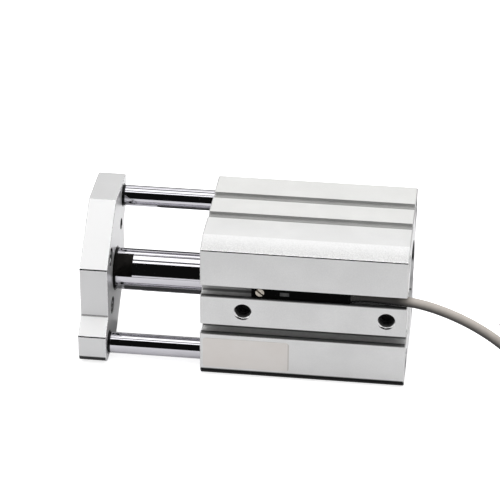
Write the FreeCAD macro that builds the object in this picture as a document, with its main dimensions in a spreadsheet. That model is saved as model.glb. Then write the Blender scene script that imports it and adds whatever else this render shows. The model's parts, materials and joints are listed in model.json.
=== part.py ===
import FreeCAD, Part
import math
import os
import Sketcher

os.makedirs("parts", exist_ok=True)

# Guided pneumatic cylinder, in millimetres.
# +X runs from the tooling plate towards the head end, +Y away from the ports, +Z up.
# The origin is the middle of the footprint, on the surface the body rests on.
# The piston rod is drawn fully extended.

doc = FreeCAD.newDocument("GuidedCylinder")
sheet = doc.addObject("Spreadsheet::Sheet", "Sizes")

DIMENSIONS = [
    # Travel and running fits
    ("stroke", 20.0, "travel of the piston"),
    ("retracted_gap", 7.0, "gap between plate and body with the rod in"),
    ("end_play", 0.1, "gap left between a bumper and its cover"),
    ("running_clearance", 0.05, "radial gap of a shaft in its bearing"),
    ("seat_clearance", 0.03, "radial gap of a fixed ring in its seat"),
    ("free_clearance", 0.3, "radial gap where nothing bears"),
    # Body profile, seen along X
    ("body_height", 42.0, "base to top face"),
    ("half_depth", 19.5, "axis to the front face beside the ports"),
    ("flange_step", 1.0, "how far the lower front flat stands proud"),
    ("bevel_depth", 5.7, "top front bevel, measured along Y"),
    ("bevel_drop", 2.05, "top front bevel, measured along Z"),
    ("base_round", 2.4, "rounding of the lower edges"),
    ("edge_break", 0.25, "chamfer round the end faces"),
    ("groove_width", 3.4, "shallow grooves on the top face"),
    ("groove_depth", 0.9, "depth of the top grooves"),
    ("groove_pitch", 11.5, "distance between the top grooves"),
    ("groove_offset", 3.3, "middle of the two grooves from the axis"),
    # Sensor slots
    ("slot_offset", 6.2, "upper slot above the axis plane"),
    ("narrow_slot_offset", 5.95, "lower slot below the axis plane"),
    ("slot_opening", 3.5, "width of the upper slot's mouth"),
    ("narrow_slot_opening", 2.8, "width of the lower slot's mouth"),
    ("slot_radius", 2.2, "round inside of a slot"),
    ("slot_axis_depth", 2.6, "centre of the round below the front face"),
    # Bore and covers
    ("bore_radius", 12.5, "piston bore"),
    ("ring_setback", 2.7, "rod end face to the retaining ring"),
    ("ring_thickness", 1.2, "retaining ring"),
    ("ring_depth", 0.65, "how deep the ring sits in the wall"),
    ("ring_width", 2.3, "radial width of the ring"),
    ("ring_opening", 7.0, "gap between the ring's ears"),
    ("ring_ear_radius", 2.1, "ear of the retaining ring"),
    ("ring_ear_hole", 0.85, "radius of the plier holes"),
    ("rod_cover_length", 15.0, "rod cover along the axis"),
    ("rod_cover_flange", 6.0, "full diameter part of the rod cover"),
    ("rod_cover_relief", 2.0, "slimmer part behind the flange, below the bore"),
    ("head_cover_thickness", 3.0, "head cover disc"),
    ("head_cover_step", 1.0, "counterbore of the head cover beyond the bore"),
    ("head_cover_sink", 1.0, "head cover below the end face"),
    ("head_cover_dish_radius", 8.0, "shallow dish turned in the head cover"),
    ("head_cover_dish_depth", 0.6, "depth of that dish"),
    ("seal_section", 0.75, "section radius of a static seal ring"),
    ("head_seal_section", 0.5, "section radius of the head seal ring"),
    ("rod_seal_width", 3.2, "rod seal along the axis"),
    ("rod_seal_height", 3.0, "rod seal beyond the rod"),
    ("rod_seal_lip", 0.3, "thickness of a seal lip, as a share of the seal's height"),
    ("rod_seal_setback", 1.2, "cover face to the rod seal"),
    ("rod_bush_wall", 1.0, "wall of the rod bush"),
    ("rod_bush_length", 8.0, "rod bush along the axis"),
    # Piston
    ("piston_length", 12.0, "piston without its bumpers"),
    ("piston_gap", 0.3, "radial gap of the piston in the bore"),
    ("bumper_thickness", 1.2, "cushion on each side of the piston"),
    ("bumper_inset", 2.5, "edge of a bumper below the bore"),
    ("rear_bumper_hole", 5.0, "inner radius of the rear bumper"),
    ("piston_spigot", 4.0, "radius of the rod end inside the piston"),
    ("piston_seal_start", 1.0, "front face of the piston to its seal"),
    ("piston_seal_width", 2.5, "piston seal along the axis"),
    ("piston_seal_depth", 3.0, "groove depth of the piston seal"),
    ("magnet_start", 4.3, "front face of the piston to the magnet"),
    ("magnet_width", 3.0, "magnet along the axis"),
    ("magnet_depth", 2.6, "groove depth of the magnet"),
    ("wear_ring_start", 8.2, "front face of the piston to the wear ring"),
    ("wear_ring_width", 2.4, "wear ring along the axis"),
    ("wear_ring_depth", 1.2, "groove depth of the wear ring"),
    # Rods
    ("rod_radius", 6.0, "piston rod"),
    ("rod_flat_depth", 1.0, "spanner flats below the rod's surface"),
    ("rod_flat_length", 5.5, "spanner flats along the rod"),
    ("rod_chamfer", 0.4, "edge break of the rods"),
    ("guide_radius", 3.0, "guide rod"),
    ("guide_side", 5.0, "axis of a guide rod below the side face"),
    ("guide_edge", 5.0, "axis of a guide rod below the top face"),
    ("guide_reach", 36.0, "guide rod inside the body when extended"),
    ("bush_wall", 1.0, "wall of a guide bush"),
    ("bush_length", 12.0, "guide bush along the rod"),
    ("bush_setback", 1.0, "rod end face to the front bushes"),
    ("bush_spacing", 19.0, "front bush to rear bush"),
    # Tooling plate
    ("plate_thickness", 8.0, "tooling plate"),
    ("plate_edge", 4.4, "axis of a guide rod to the plate's top"),
    ("plate_side", 4.8, "axis of a guide rod to the face of its lug"),
    ("plate_bevel_across", 17.2, "long bevel, measured along Y"),
    ("plate_bevel_share", 0.657, "long bevel along Z, as a share of the plate's half height"),
    ("plate_lug_height", 8.5, "straight face of a lug"),
    ("plate_lug_slope", 4.0, "slope between waist and lug, along Z"),
    ("plate_corner", 2.3, "rounding of the lower lug"),
    ("plate_hole_across", 15.0, "tooling holes, spacing along Y"),
    ("plate_hole_share", 0.5, "tooling holes above the axis, as a share of the guide rods' height"),
    ("plate_hole_side", 6.5, "tooling holes to the plate's middle flats"),
    ("small_hole_share", 0.57, "small tooling hole above the axis, as a share of the guide rods' height"),
    ("small_hole_side", 4.3, "small tooling hole to the plate's middle flat"),
    ("plate_break", 0.12, "chamfer round the plate's faces"),
    ("tapped_five", 2.1, "core radius of an M5 thread"),
    ("tapped_four", 1.65, "core radius of an M4 thread"),
    ("tapped_chamfer", 0.45, "lead-in of the M5 holes"),
    ("rod_seat_depth", 0.6, "rods let into the plate"),
    # Fasteners
    ("rod_bolt_radius", 3.0, "M6 screw that holds the piston rod"),
    ("rod_bolt_head", 5.0, "head radius of that screw"),
    ("rod_bolt_head_height", 4.0, "its low head"),
    ("rod_bolt_length", 16.0, "length under its head"),
    ("rod_bolt_key", 4.0, "across the flats of its socket"),
    ("guide_bolt_radius", 1.5, "M3 screws that hold the guide rods"),
    ("guide_bolt_head", 2.75, "head radius of those screws"),
    ("guide_bolt_head_height", 3.0, "their heads"),
    ("guide_bolt_length", 12.0, "length under their heads"),
    ("guide_bolt_key", 2.5, "across the flats of their sockets"),
    ("bolt_clearance", 0.3, "radial gap round a screw"),
    ("bolt_head_break", 0.125, "edge break of a head, as a share of its radius"),
    ("bolt_tip_break", 0.25, "edge break of a tip, as a share of its radius"),
    ("bolt_socket_share", 0.5, "depth of a socket, as a share of the head's height"),
    ("head_recess", 0.4, "screw heads below the plate's face"),
    # Air ports and body holes
    ("rod_port_setback", 11.9, "rod end face to its port"),
    ("head_port_setback", 5.6, "head end face to its port"),
    ("port_web", 2.0, "metal between the thread of a port and the bore"),
    ("port_passage", 1.25, "radius of the drilling into the bore"),
    ("body_hole_radius", 2.5, "core radius of the M6 body holes"),
    # Position switch
    ("switch_setback", 14.3, "rod end face to the switch"),
    ("switch_length", 27.5, "switch housing"),
    ("switch_radius", 2.0, "round back of the housing"),
    ("switch_width", 3.1, "housing in the slot's mouth"),
    ("switch_sink", 0.55, "housing below the front face"),
    ("switch_screw_setback", 2.3, "housing end to its clamping screw"),
    ("switch_screw_radius", 1.25, "M2.5 clamping screw"),
    ("switch_screw_length", 3.7, "length of that screw"),
    ("switch_screw_slot", 0.45, "width of its slot"),
    ("switch_screw_slot_depth", 0.675, "depth of its slot"),
    ("switch_screw_turn", 40.0, "slot of the screw, in degrees from X"),
    ("window_setback", 7.9, "housing end to the indicator window"),
    ("window_length", 2.6, "indicator window"),
    ("window_width", 1.2, "height of the window"),
    ("window_depth", 0.5, "thickness of the window"),
    ("gland_length", 3.5, "sleeve where the cable leaves the housing"),
    ("gland_radius", 1.8, "that sleeve at the housing"),
    ("cable_radius", 1.4, "round cable"),
    ("cable_depth", 2.3, "cable axis below the front face in the slot"),
    # Put-away cable
    ("coil_outer", 18.5, "outermost turn of the coil"),
    ("coil_inner", 12.3, "innermost turn of the coil"),
    ("coil_layers", 2, "layers of turns, one on the other"),
    ("coil_rounding", 1.3, "rounding of the bundle's edges"),
    ("tie_thickness", 0.45, "band round the bundle"),
    ("tie_width", 4.0, "band along the bundle"),
    ("tie_clearance", 0.25, "band to the curved sides of the bundle"),
    ("core_radius", 0.55, "one insulated core"),
    # Bare label
    ("label_setback", 1.6, "rod end face to the label"),
    ("label_length", 22.6, "label along X"),
    ("label_margin", 1.25, "label to the lower slot"),
    ("label_base", 3.1, "base to the label"),
    ("label_thickness", 0.1, "foil"),
    ("label_corner", 0.9, "rounding of its corners"),
]

for row, (name, amount, meaning) in enumerate(DIMENSIONS, 1):
    sheet.set("A%d" % row, name)
    sheet.set("B%d" % row, str(amount))
    sheet.setAlias("B%d" % row, name)
    sheet.set("C%d" % row, meaning)
doc.recompute()


def of(name):
    """The expression that reads one cell of the sheet."""
    return "Sizes." + name


def amount_of(expression):
    """The number that an expression gives at this moment."""
    return float(sheet.evalExpression(expression))


# Places along X that several pieces share, as expressions
GAP = "(%s + %s)" % (of("stroke"), of("retracted_gap"))
CHAMBER = "(%s + %s + 2 * %s + 2 * %s)" % (
    of("stroke"), of("piston_length"), of("bumper_thickness"), of("end_play"))
COVER_START = "(%s + %s)" % (of("ring_setback"), of("ring_thickness"))
CHAMBER_START = "(%s + %s)" % (COVER_START, of("rod_cover_length"))
CHAMBER_END = "(%s + %s)" % (CHAMBER_START, CHAMBER)
BODY_LENGTH = "(%s + %s + %s)" % (CHAMBER_END, of("head_cover_thickness"), of("head_cover_sink"))
BODY_X = "((%s + %s - %s) / 2)" % (of("plate_thickness"), GAP, BODY_LENGTH)
PLATE_INNER_X = "(%s - %s)" % (BODY_X, GAP)
PLATE_X = "(%s - %s)" % (PLATE_INNER_X, of("plate_thickness"))
PISTON_X = "(%s + %s + %s + %s)" % (BODY_X, CHAMBER_START, of("end_play"), of("bumper_thickness"))
AXIS_Z = "(%s / 2)" % of("body_height")
FRONT_Y = "(-%s)" % of("half_depth")
FLANGE_Y = "(%s + %s)" % (of("half_depth"), of("flange_step"))
SLOT_Z = "(%s + %s)" % (AXIS_Z, of("slot_offset"))
GUIDE_ACROSS = "(%s - %s)" % (of("half_depth"), of("guide_side"))
GUIDE_UP = "(%s - %s)" % (AXIS_Z, of("guide_edge"))
PLATE_TOP = "(%s + %s)" % (GUIDE_UP, of("plate_edge"))
PLATE_LUG = "(%s + %s)" % (GUIDE_ACROSS, of("plate_side"))
PLATE_WAIST = "(%s / 2 + %s)" % (of("plate_hole_across"), of("plate_hole_side"))
HEAD_COVER_RADIUS = "(%s + %s)" % (of("bore_radius"), of("head_cover_step"))
ROD_SEAL_RADIUS = "(%s + %s)" % (of("rod_radius"), of("rod_seal_height"))


def place(thing, x_place, y_place="0", z_place=AXIS_Z):
    """Put a sub-part at its place, each coordinate bound to the sheet."""
    for letter, expression in (("x", x_place), ("y", y_place), ("z", z_place)):
        thing.setExpression("Placement.Base." + letter, expression)
    doc.recompute()


def new_body(label):
    body = doc.addObject("PartDesign::Body", label + "_body")
    body.Label = label
    return body


def new_sketch(body, name, plane, lift=None):
    """A sketch on one of the body's own origin planes, lifted along its normal."""
    sketch = body.newObject("Sketcher::SketchObject", name)
    for feature in body.Origin.OriginFeatures:
        if feature.Role == plane:
            sketch.AttachmentSupport = [(feature, "")]
    sketch.MapMode = "FlatFace"
    if lift is not None:
        sketch.setExpression("AttachmentOffset.Base.z", lift)
    doc.recompute()
    return sketch


def pin_point(sketch, geometry, point, across, up):
    """Fix one point of a sketch at a pair of expressions."""
    for kind, axis, expression in (("DistanceX", -2, across), ("DistanceY", -1, up)):
        if expression == "0":
            sketch.addConstraint(Sketcher.Constraint("PointOnObject", geometry, point, axis))
        else:
            value = amount_of(expression)
            rule = Sketcher.Constraint(kind, -1, 1, geometry, point, value)
            index = sketch.addConstraint(rule)
            sketch.setExpression("Constraints[%d]" % index, expression)


def outline(sketch, corners):
    """A closed outline of straight edges through corners given as expressions."""
    first = sketch.GeometryCount
    count = len(corners)
    spots = [FreeCAD.Vector(amount_of(across), amount_of(up), 0) for across, up in corners]
    for index in range(count):
        sketch.addGeometry(Part.LineSegment(spots[index], spots[(index + 1) % count]), False)
    for index in range(count):
        following = first + (index + 1) % count
        sketch.addConstraint(Sketcher.Constraint("Coincident", first + index, 2, following, 1))
    for index, (across, up) in enumerate(corners):
        pin_point(sketch, first + index, 1, across, up)


def rectangle(sketch, left, low, right, high):
    outline(sketch, [(left, low), (right, low), (right, high), (left, high)])


def circle(sketch, radius, across="0", up="0"):
    """A circle whose radius and centre are expressions."""
    centre = FreeCAD.Vector(amount_of(across), amount_of(up), 0)
    upright = FreeCAD.Vector(0, 0, 1)
    index = sketch.addGeometry(Part.Circle(centre, upright, amount_of(radius)), False)
    rule = sketch.addConstraint(Sketcher.Constraint("Radius", index, amount_of(radius)))
    sketch.setExpression("Constraints[%d]" % rule, radius)
    pin_point(sketch, index, 3, across, up)


def pad(body, sketch, length):
    feature = body.newObject("PartDesign::Pad", sketch.Name + "_pad")
    feature.Profile = sketch
    feature.setExpression("Length", length)
    doc.recompute()
    return feature


def pocket(body, sketch, length=None, towards_normal=True):
    """Cut a sketch out of the body, to a depth or right through, and see that it cuts."""
    before = body.Shape.Volume
    feature = body.newObject("PartDesign::Pocket", sketch.Name + "_cut")
    feature.Profile = sketch
    if length is None:
        feature.Type = "ThroughAll"
    else:
        feature.setExpression("Length", length)
    feature.Reversed = towards_normal
    doc.recompute()
    if body.Shape.Volume > before - 1e-6:
        raise RuntimeError(feature.Name + " removes nothing")
    return feature


def edges_where(feature, test):
    """Names of the edges whose both ends pass the test."""
    names = []
    for index, edge in enumerate(feature.Shape.Edges, 1):
        if all(test(vertex.Point) for vertex in edge.Vertexes):
            names.append("Edge%d" % index)
    return names


def soften(body, kind, name, feature, edges, prop, expression):
    """Fillet or chamfer the named edges of a feature."""
    result = body.newObject("PartDesign::" + kind, name)
    result.Base = (feature, edges)
    result.setExpression(prop, expression)
    doc.recompute()
    return result


def turned(label, profile, x_place, y_place="0", z_place=AXIS_Z):
    """A turned piece: a profile of (along the axis, radius) pairs spun about X."""
    body = new_body(label)
    sketch = new_sketch(body, label + "_profile", "XY_Plane")
    outline(sketch, profile)
    feature = body.newObject("PartDesign::Revolution", label + "_turned")
    feature.Profile = sketch
    feature.ReferenceAxis = (sketch, ["H_Axis"])
    feature.Angle = 360
    doc.recompute()
    place(body, x_place, y_place, z_place)
    return body


def sleeve(label, inner, outer, length, x_place, y_place="0", z_place=AXIS_Z):
    """A plain turned sleeve."""
    corners = [("0", inner), (length, inner), (length, outer), ("0", outer)]
    return turned(label, corners, x_place, y_place, z_place)


def seal_ring(label, section, radius, x_place):
    """A round-section seal ring about the piston axis."""
    ring = doc.addObject("Part::Torus", label + "_torus")
    ring.Label = label
    ring.setExpression("Radius1", radius)
    ring.setExpression("Radius2", section)
    ring.Placement.Rotation = FreeCAD.Rotation(FreeCAD.Vector(0, 1, 0), 90)
    place(ring, x_place)
    return ring


# Cylinder body: an extruded profile with sensor slots, bored from both ends

def make_cylinder_body():
    body = new_body("cylinder_body")
    half = AXIS_Z
    top = half
    base = "(-%s)" % half
    back = of("half_depth")
    step_low = "(-%s)" % of("narrow_slot_offset")
    step_high = of("narrow_slot_offset")
    groove_sides = []
    for side in (1, -1):
        centre = "%s + %d * %s / 2" % (of("groove_offset"), side, of("groove_pitch"))
        groove_sides.append(("(%s + %s / 2)" % (centre, of("groove_width")),
                             "(%s - %s / 2)" % (centre, of("groove_width"))))
    floor = "(%s - %s)" % (top, of("groove_depth"))
    profile = new_sketch(body, "body_profile", "YZ_Plane")
    corners = [
        ("(-%s)" % FLANGE_Y, base), (back, base), (back, step_high), (FLANGE_Y, step_high), (FLANGE_Y, top)]
    for far, near in groove_sides:
        corners += [(far, top), (far, floor), (near, floor), (near, top)]
    corners += [("(%s + %s)" % (FRONT_Y, of("bevel_depth")), top),
                (FRONT_Y, "(%s - %s)" % (top, of("bevel_drop"))),
                (FRONT_Y, step_low), ("(-%s)" % FLANGE_Y, step_low)]
    outline(profile, corners)
    block = pad(body, profile, BODY_LENGTH)

    low = amount_of(base)
    length = amount_of(BODY_LENGTH)
    lengthwise = edges_where(block, lambda p: abs(p.z - low) < 1e-4)
    lower_edges = [name for name in lengthwise if block.Shape.getElement(name).Length > length - 1e-3]
    block = soften(body, "Fillet", "base_rounding", block, lower_edges, "Radius", of("base_round"))
    for face_x in (0.0, length):
        rim = edges_where(block, lambda p: abs(p.x - face_x) < 1e-4)
        block = soften(body, "Chamfer", "end_break_%d" % round(face_x), block, rim, "Size", of("edge_break"))

    rounds = new_sketch(body, "slot_rounds", "YZ_Plane")
    mouths = new_sketch(body, "slot_mouths", "YZ_Plane")
    for side in (1, -1):
        for offset, opening, sign in (("slot_offset", "slot_opening", -side),
                                      ("narrow_slot_offset", "narrow_slot_opening", side)):
            depth = "(%s - %s)" % (of("half_depth"), of("slot_axis_depth"))
            across = "(%d * %s)" % (side, depth)
            up = "(%d * %s)" % (sign, of(offset))
            circle(rounds, of("slot_radius"), across, up)
            low_side = "(%s - %s / 2)" % (up, of(opening))
            high_side = "(%s + %s / 2)" % (up, of(opening))
            outer = "(%d * (%s + %s))" % (side, FLANGE_Y, of("flange_step"))
            rectangle(mouths, across, low_side, outer, high_side)
    pocket(body, rounds)
    pocket(body, mouths)

    bore = new_sketch(body, "bore_profile", "XY_Plane")
    ring_radius = "(%s + %s)" % (of("bore_radius"), of("ring_depth"))
    outline(bore, [
        ("0", "0"), ("0", of("bore_radius")), (of("ring_setback"), of("bore_radius")),
        (of("ring_setback"), ring_radius), (COVER_START, ring_radius), (COVER_START, of("bore_radius")),
        (CHAMBER_END, of("bore_radius")), (CHAMBER_END, HEAD_COVER_RADIUS),
        (BODY_LENGTH, HEAD_COVER_RADIUS), (BODY_LENGTH, "0")])
    before = body.Shape.Volume
    bored = body.newObject("PartDesign::Groove", "stepped_bore")
    bored.Profile = bore
    bored.ReferenceAxis = (bore, ["H_Axis"])
    bored.Angle = 360
    doc.recompute()
    if body.Shape.Volume > before - 1e-6:
        raise RuntimeError("the stepped bore removes nothing")

    drillings = new_sketch(body, "lengthwise_holes", "YZ_Plane")
    guide_bore = "(%s + %s + %s + %s)" % (
        of("guide_radius"), of("running_clearance"), of("bush_wall"), of("seat_clearance"))
    for side in (1, -1):
        across = "(%d * %s)" % (side, GUIDE_ACROSS)
        circle(drillings, guide_bore, across, "(%d * %s)" % (side, GUIDE_UP))
        circle(drillings, of("body_hole_radius"), across, "(%d * %s)" % (-side, GUIDE_UP))
    pocket(body, drillings)

    ports = new_sketch(body, "port_centres", "XZ_Plane", of("half_depth"))
    passages = new_sketch(body, "port_passages", "XZ_Plane", of("half_depth"))
    for setback in (of("rod_port_setback"), "(%s - %s)" % (BODY_LENGTH, of("head_port_setback"))):
        circle(ports, of("tapped_five"), setback, "0")
        circle(passages, of("port_passage"), setback, "0")
    doc.recompute()
    tapped = body.newObject("PartDesign::Hole", "port_threads")
    tapped.Profile = ports
    tapped.ThreadType = "None"
    tapped.DepthType = "Dimension"
    tapped.setExpression("Depth", "%s - %s - %s" % (of("half_depth"), of("bore_radius"), of("port_web")))
    tapped.setExpression("Diameter", "2 * %s" % of("tapped_five"))
    tapped.HoleCutType = "Countersink"
    tapped.HoleCutCustomValues = True
    tapped.setExpression("HoleCutDiameter", "2 * (%s + %s)" % (of("tapped_five"), of("tapped_chamfer")))
    tapped.HoleCutCountersinkAngle = 90
    tapped.DrillPoint = "Angled"
    doc.recompute()
    into_bore = "(%s - %s + 2 * %s)" % (of("half_depth"), of("bore_radius"), of("port_passage"))
    pocket(body, passages, into_bore, False)
    place(body, BODY_X)
    return body


# Parts held in the bore

def make_rod_cover():
    seal_seat = "(%s + %s)" % (ROD_SEAL_RADIUS, of("seat_clearance"))
    seal_end = "(%s + %s)" % (of("rod_seal_setback"), of("rod_seal_width"))
    free_hole = "(%s + %s)" % (of("rod_radius"), of("free_clearance"))
    bush_seat = "(%s + %s + %s + %s)" % (
        of("rod_radius"), of("running_clearance"), of("rod_bush_wall"), of("seat_clearance"))
    bush_start = "(%s - %s)" % (of("rod_cover_length"), of("rod_bush_length"))
    outer = "(%s - %s)" % (of("bore_radius"), of("seat_clearance"))
    groove = "(%s - 2 * %s)" % (outer, of("seal_section"))
    groove_start = "(%s / 2 - %s)" % (of("rod_cover_flange"), of("seal_section"))
    groove_end = "(%s / 2 + %s)" % (of("rod_cover_flange"), of("seal_section"))
    nose = "(%s - %s)" % (of("bore_radius"), of("rod_cover_relief"))
    length = of("rod_cover_length")
    return turned("rod_cover", [
        ("0", free_hole), (of("rod_seal_setback"), free_hole), (of("rod_seal_setback"), seal_seat),
        (seal_end, seal_seat), (seal_end, free_hole), (bush_start, free_hole), (bush_start, bush_seat),
        (length, bush_seat), (length, nose), (of("rod_cover_flange"), nose), (of("rod_cover_flange"), outer),
        (groove_end, outer), (groove_end, groove), (groove_start, groove), (groove_start, outer),
        ("0", outer)], "%s + %s" % (BODY_X, COVER_START))


def make_rod_seal():
    """A lipped seal: its inside is open towards the pressure side."""
    inner = "(%s + %s)" % (of("rod_radius"), of("running_clearance"))
    width = of("rod_seal_width")
    notch = "(%s / 2)" % width
    middle = "((%s + %s) / 2)" % (inner, ROD_SEAL_RADIUS)
    thickness = "(%s * (%s - %s))" % (of("rod_seal_lip"), ROD_SEAL_RADIUS, inner)
    lip = "(%s + %s)" % (inner, thickness)
    heel = "(%s - %s)" % (ROD_SEAL_RADIUS, thickness)
    return turned("rod_seal", [
        ("0", inner), (width, inner), (width, lip), (notch, middle), (width, heel),
        (width, ROD_SEAL_RADIUS), ("0", ROD_SEAL_RADIUS)],
        "%s + %s + %s" % (BODY_X, COVER_START, of("rod_seal_setback")))


def make_rod_bush():
    inner = "(%s + %s)" % (of("rod_radius"), of("running_clearance"))
    outer = "(%s + %s)" % (inner, of("rod_bush_wall"))
    start = "%s + %s - %s" % (BODY_X, CHAMBER_START, of("rod_bush_length"))
    return sleeve("rod_bush", inner, outer, of("rod_bush_length"), start)


def make_rod_cover_seal():
    radius = "%s - %s - %s" % (of("bore_radius"), of("seat_clearance"), of("seal_section"))
    middle = "%s + %s + %s / 2" % (BODY_X, COVER_START, of("rod_cover_flange"))
    return seal_ring("rod_cover_seal", of("seal_section") + " - Sizes.seat_clearance / 2", radius, middle)


def make_retaining_ring():
    """A sprung ring with two pierced ears beside its opening."""
    body = new_body("rod_cover_ring")
    outer = "(%s + %s - %s)" % (of("bore_radius"), of("ring_depth"), of("seat_clearance"))
    inner = "(%s - %s)" % (outer, of("ring_width"))
    band = new_sketch(body, "ring_band", "YZ_Plane")
    circle(band, outer)
    circle(band, inner)
    pad(body, band, of("ring_thickness"))
    ears = new_sketch(body, "ring_ears", "YZ_Plane")
    ear_across = "(%s / 2 + %s)" % (of("ring_opening"), of("ring_ear_radius"))
    ear_reach = "(%s - %s - %s)" % (of("bore_radius"), of("free_clearance"), of("ring_ear_radius"))
    ear_up = "(-sqrt(pow(%s; 2) - pow(%s; 2)))" % (ear_reach, ear_across)
    for side in (1, -1):
        circle(ears, of("ring_ear_radius"), "(%d * %s)" % (side, ear_across), ear_up)
    pad(body, ears, of("ring_thickness"))
    cuts = new_sketch(body, "ring_cuts", "YZ_Plane")
    half_opening = "(%s / 2)" % of("ring_opening")
    rectangle(cuts, "(-%s)" % half_opening, "(-2 * %s)" % inner, half_opening, "(-%s / 2)" % inner)
    for side in (1, -1):
        circle(cuts, of("ring_ear_hole"), "(%d * %s)" % (side, ear_across), ear_up)
    pocket(body, cuts)
    place(body, "%s + %s" % (BODY_X, of("ring_setback")))
    return body


def make_head_cover():
    outer = "(%s - %s)" % (HEAD_COVER_RADIUS, of("seat_clearance"))
    thickness = of("head_cover_thickness")
    groove = "(%s - 2 * %s)" % (outer, of("head_seal_section"))
    middle = "(%s / 2)" % thickness
    dish = "(%s - %s)" % (thickness, of("head_cover_dish_depth"))
    return turned("head_cover", [
        ("0", "0"), ("0", outer),
        ("(%s - %s)" % (middle, of("head_seal_section")), outer),
        ("(%s - %s)" % (middle, of("head_seal_section")), groove),
        ("(%s + %s)" % (middle, of("head_seal_section")), groove),
        ("(%s + %s)" % (middle, of("head_seal_section")), outer),
        (thickness, outer), (thickness, of("head_cover_dish_radius")),
        (dish, "(%s - %s)" % (of("head_cover_dish_radius"), of("head_cover_dish_depth"))), (dish, "0")],
        "%s + %s" % (BODY_X, CHAMBER_END))


def make_head_seal():
    radius = "%s - %s - %s" % (HEAD_COVER_RADIUS, of("seat_clearance"), of("head_seal_section"))
    middle = "%s + %s + %s / 2" % (BODY_X, CHAMBER_END, of("head_cover_thickness"))
    section = "%s - %s / 2" % (of("head_seal_section"), of("seat_clearance"))
    return seal_ring("head_cover_seal", section, radius, middle)


def make_guide_bushes():
    """Four bushes, two on each guide rod."""
    inner = "(%s + %s)" % (of("guide_radius"), of("running_clearance"))
    outer = "(%s + %s)" % (inner, of("bush_wall"))
    bushes = []
    for level, side in (("upper", 1), ("lower", -1)):
        for end, along in (("front", "0"), ("rear", of("bush_spacing"))):
            start = "%s + %s + %s" % (BODY_X, of("bush_setback"), along)
            across = "%d * %s" % (side, GUIDE_ACROSS)
            up = "%s + %d * %s" % (AXIS_Z, side, GUIDE_UP)
            label = "guide_bush_%s_%s" % (level, end)
            bushes.append(sleeve(label, inner, outer, of("bush_length"), start, across, up))
    return bushes


# Parts that move with the rod

def make_piston():
    face = "(%s - %s)" % (of("bore_radius"), of("piston_gap"))
    corners = [("0", "(%s + %s)" % (of("piston_spigot"), of("seat_clearance"))), ("0", face)]
    for name in ("piston_seal", "magnet", "wear_ring"):
        start = of(name + "_start")
        end = "(%s + %s)" % (start, of(name + "_width"))
        floor = "(%s - %s)" % (face, of(name + "_depth"))
        corners += [(start, face), (start, floor), (end, floor), (end, face)]
    corners += [(of("piston_length"), face),
                (of("piston_length"), "(%s + %s)" % (of("piston_spigot"), of("seat_clearance")))]
    return turned("piston", corners, PISTON_X)


def make_piston_ring(label, name, outer):
    """A ring that fills one groove of the piston."""
    face = "(%s - %s)" % (of("bore_radius"), of("piston_gap"))
    inner = "(%s - %s + %s)" % (face, of(name + "_depth"), of("seat_clearance"))
    start = "%s + %s" % (PISTON_X, of(name + "_start"))
    return sleeve(label, inner, outer, of(name + "_width"), start)


def make_piston_rings():
    bearing = "(%s - %s)" % (of("bore_radius"), of("running_clearance"))
    face = "(%s - %s)" % (of("bore_radius"), of("piston_gap"))
    return [make_piston_ring("piston_seal", "piston_seal", bearing),
            make_piston_ring("piston_magnet", "magnet", face),
            make_piston_ring("piston_wear_ring", "wear_ring", bearing)]


def make_bumpers():
    """Cushions on both faces of the piston."""
    front_hole = "(%s + %s)" % (of("rod_radius"), of("seat_clearance"))
    front_x = "%s - %s" % (PISTON_X, of("bumper_thickness"))
    rear_x = "%s + %s" % (PISTON_X, of("piston_length"))
    thickness = of("bumper_thickness")
    edge = "(%s - %s)" % (of("bore_radius"), of("bumper_inset"))
    return [sleeve("front_bumper", front_hole, edge, thickness, front_x),
            sleeve("rear_bumper", of("rear_bumper_hole"), edge, thickness, rear_x)]


def make_piston_rod():
    """Hard chromed rod with spanner flats, threaded at the plate end."""
    start = "(%s - %s)" % (PLATE_INNER_X, of("rod_seat_depth"))
    shoulder = "(%s - %s)" % (PISTON_X, start)
    tail = "(%s + %s)" % (shoulder, of("piston_length"))
    chamfer = of("rod_chamfer")
    edge = "(%s - %s)" % (of("rod_radius"), chamfer)
    thread = "(%s + %s)" % (of("rod_bolt_radius"), of("seat_clearance"))
    thread_end = "(%s + 2 * %s)" % (of("rod_bolt_length"), of("rod_bolt_radius"))
    body = turned("piston_rod", [
        ("0", thread), ("0", edge), (chamfer, of("rod_radius")), (shoulder, of("rod_radius")),
        (shoulder, of("piston_spigot")), (tail, of("piston_spigot")), (tail, "0"),
        ("(%s + %s)" % (thread_end, thread), "0"), (thread_end, thread)], start)
    flats = new_sketch(body, "spanner_flats", "YZ_Plane")
    near = "(%s - %s)" % (of("rod_radius"), of("rod_flat_depth"))
    far = "(2 * %s)" % of("rod_radius")
    for low, high in ((near, far), ("(-%s)" % far, "(-%s)" % near)):
        rectangle(flats, "(-%s)" % far, low, far, high)
    pocket(body, flats, "%s + %s" % (of("rod_seat_depth"), of("rod_flat_length")))
    body.setExpression("Placement.Rotation.Axis.x", "1")
    body.setExpression("Placement.Rotation.Axis.y", "0")
    body.setExpression("Placement.Rotation.Axis.z", "0")
    body.setExpression("Placement.Rotation.Angle", "atan(%s / %s)" % (GUIDE_UP, GUIDE_ACROSS))
    doc.recompute()
    return body


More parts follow.
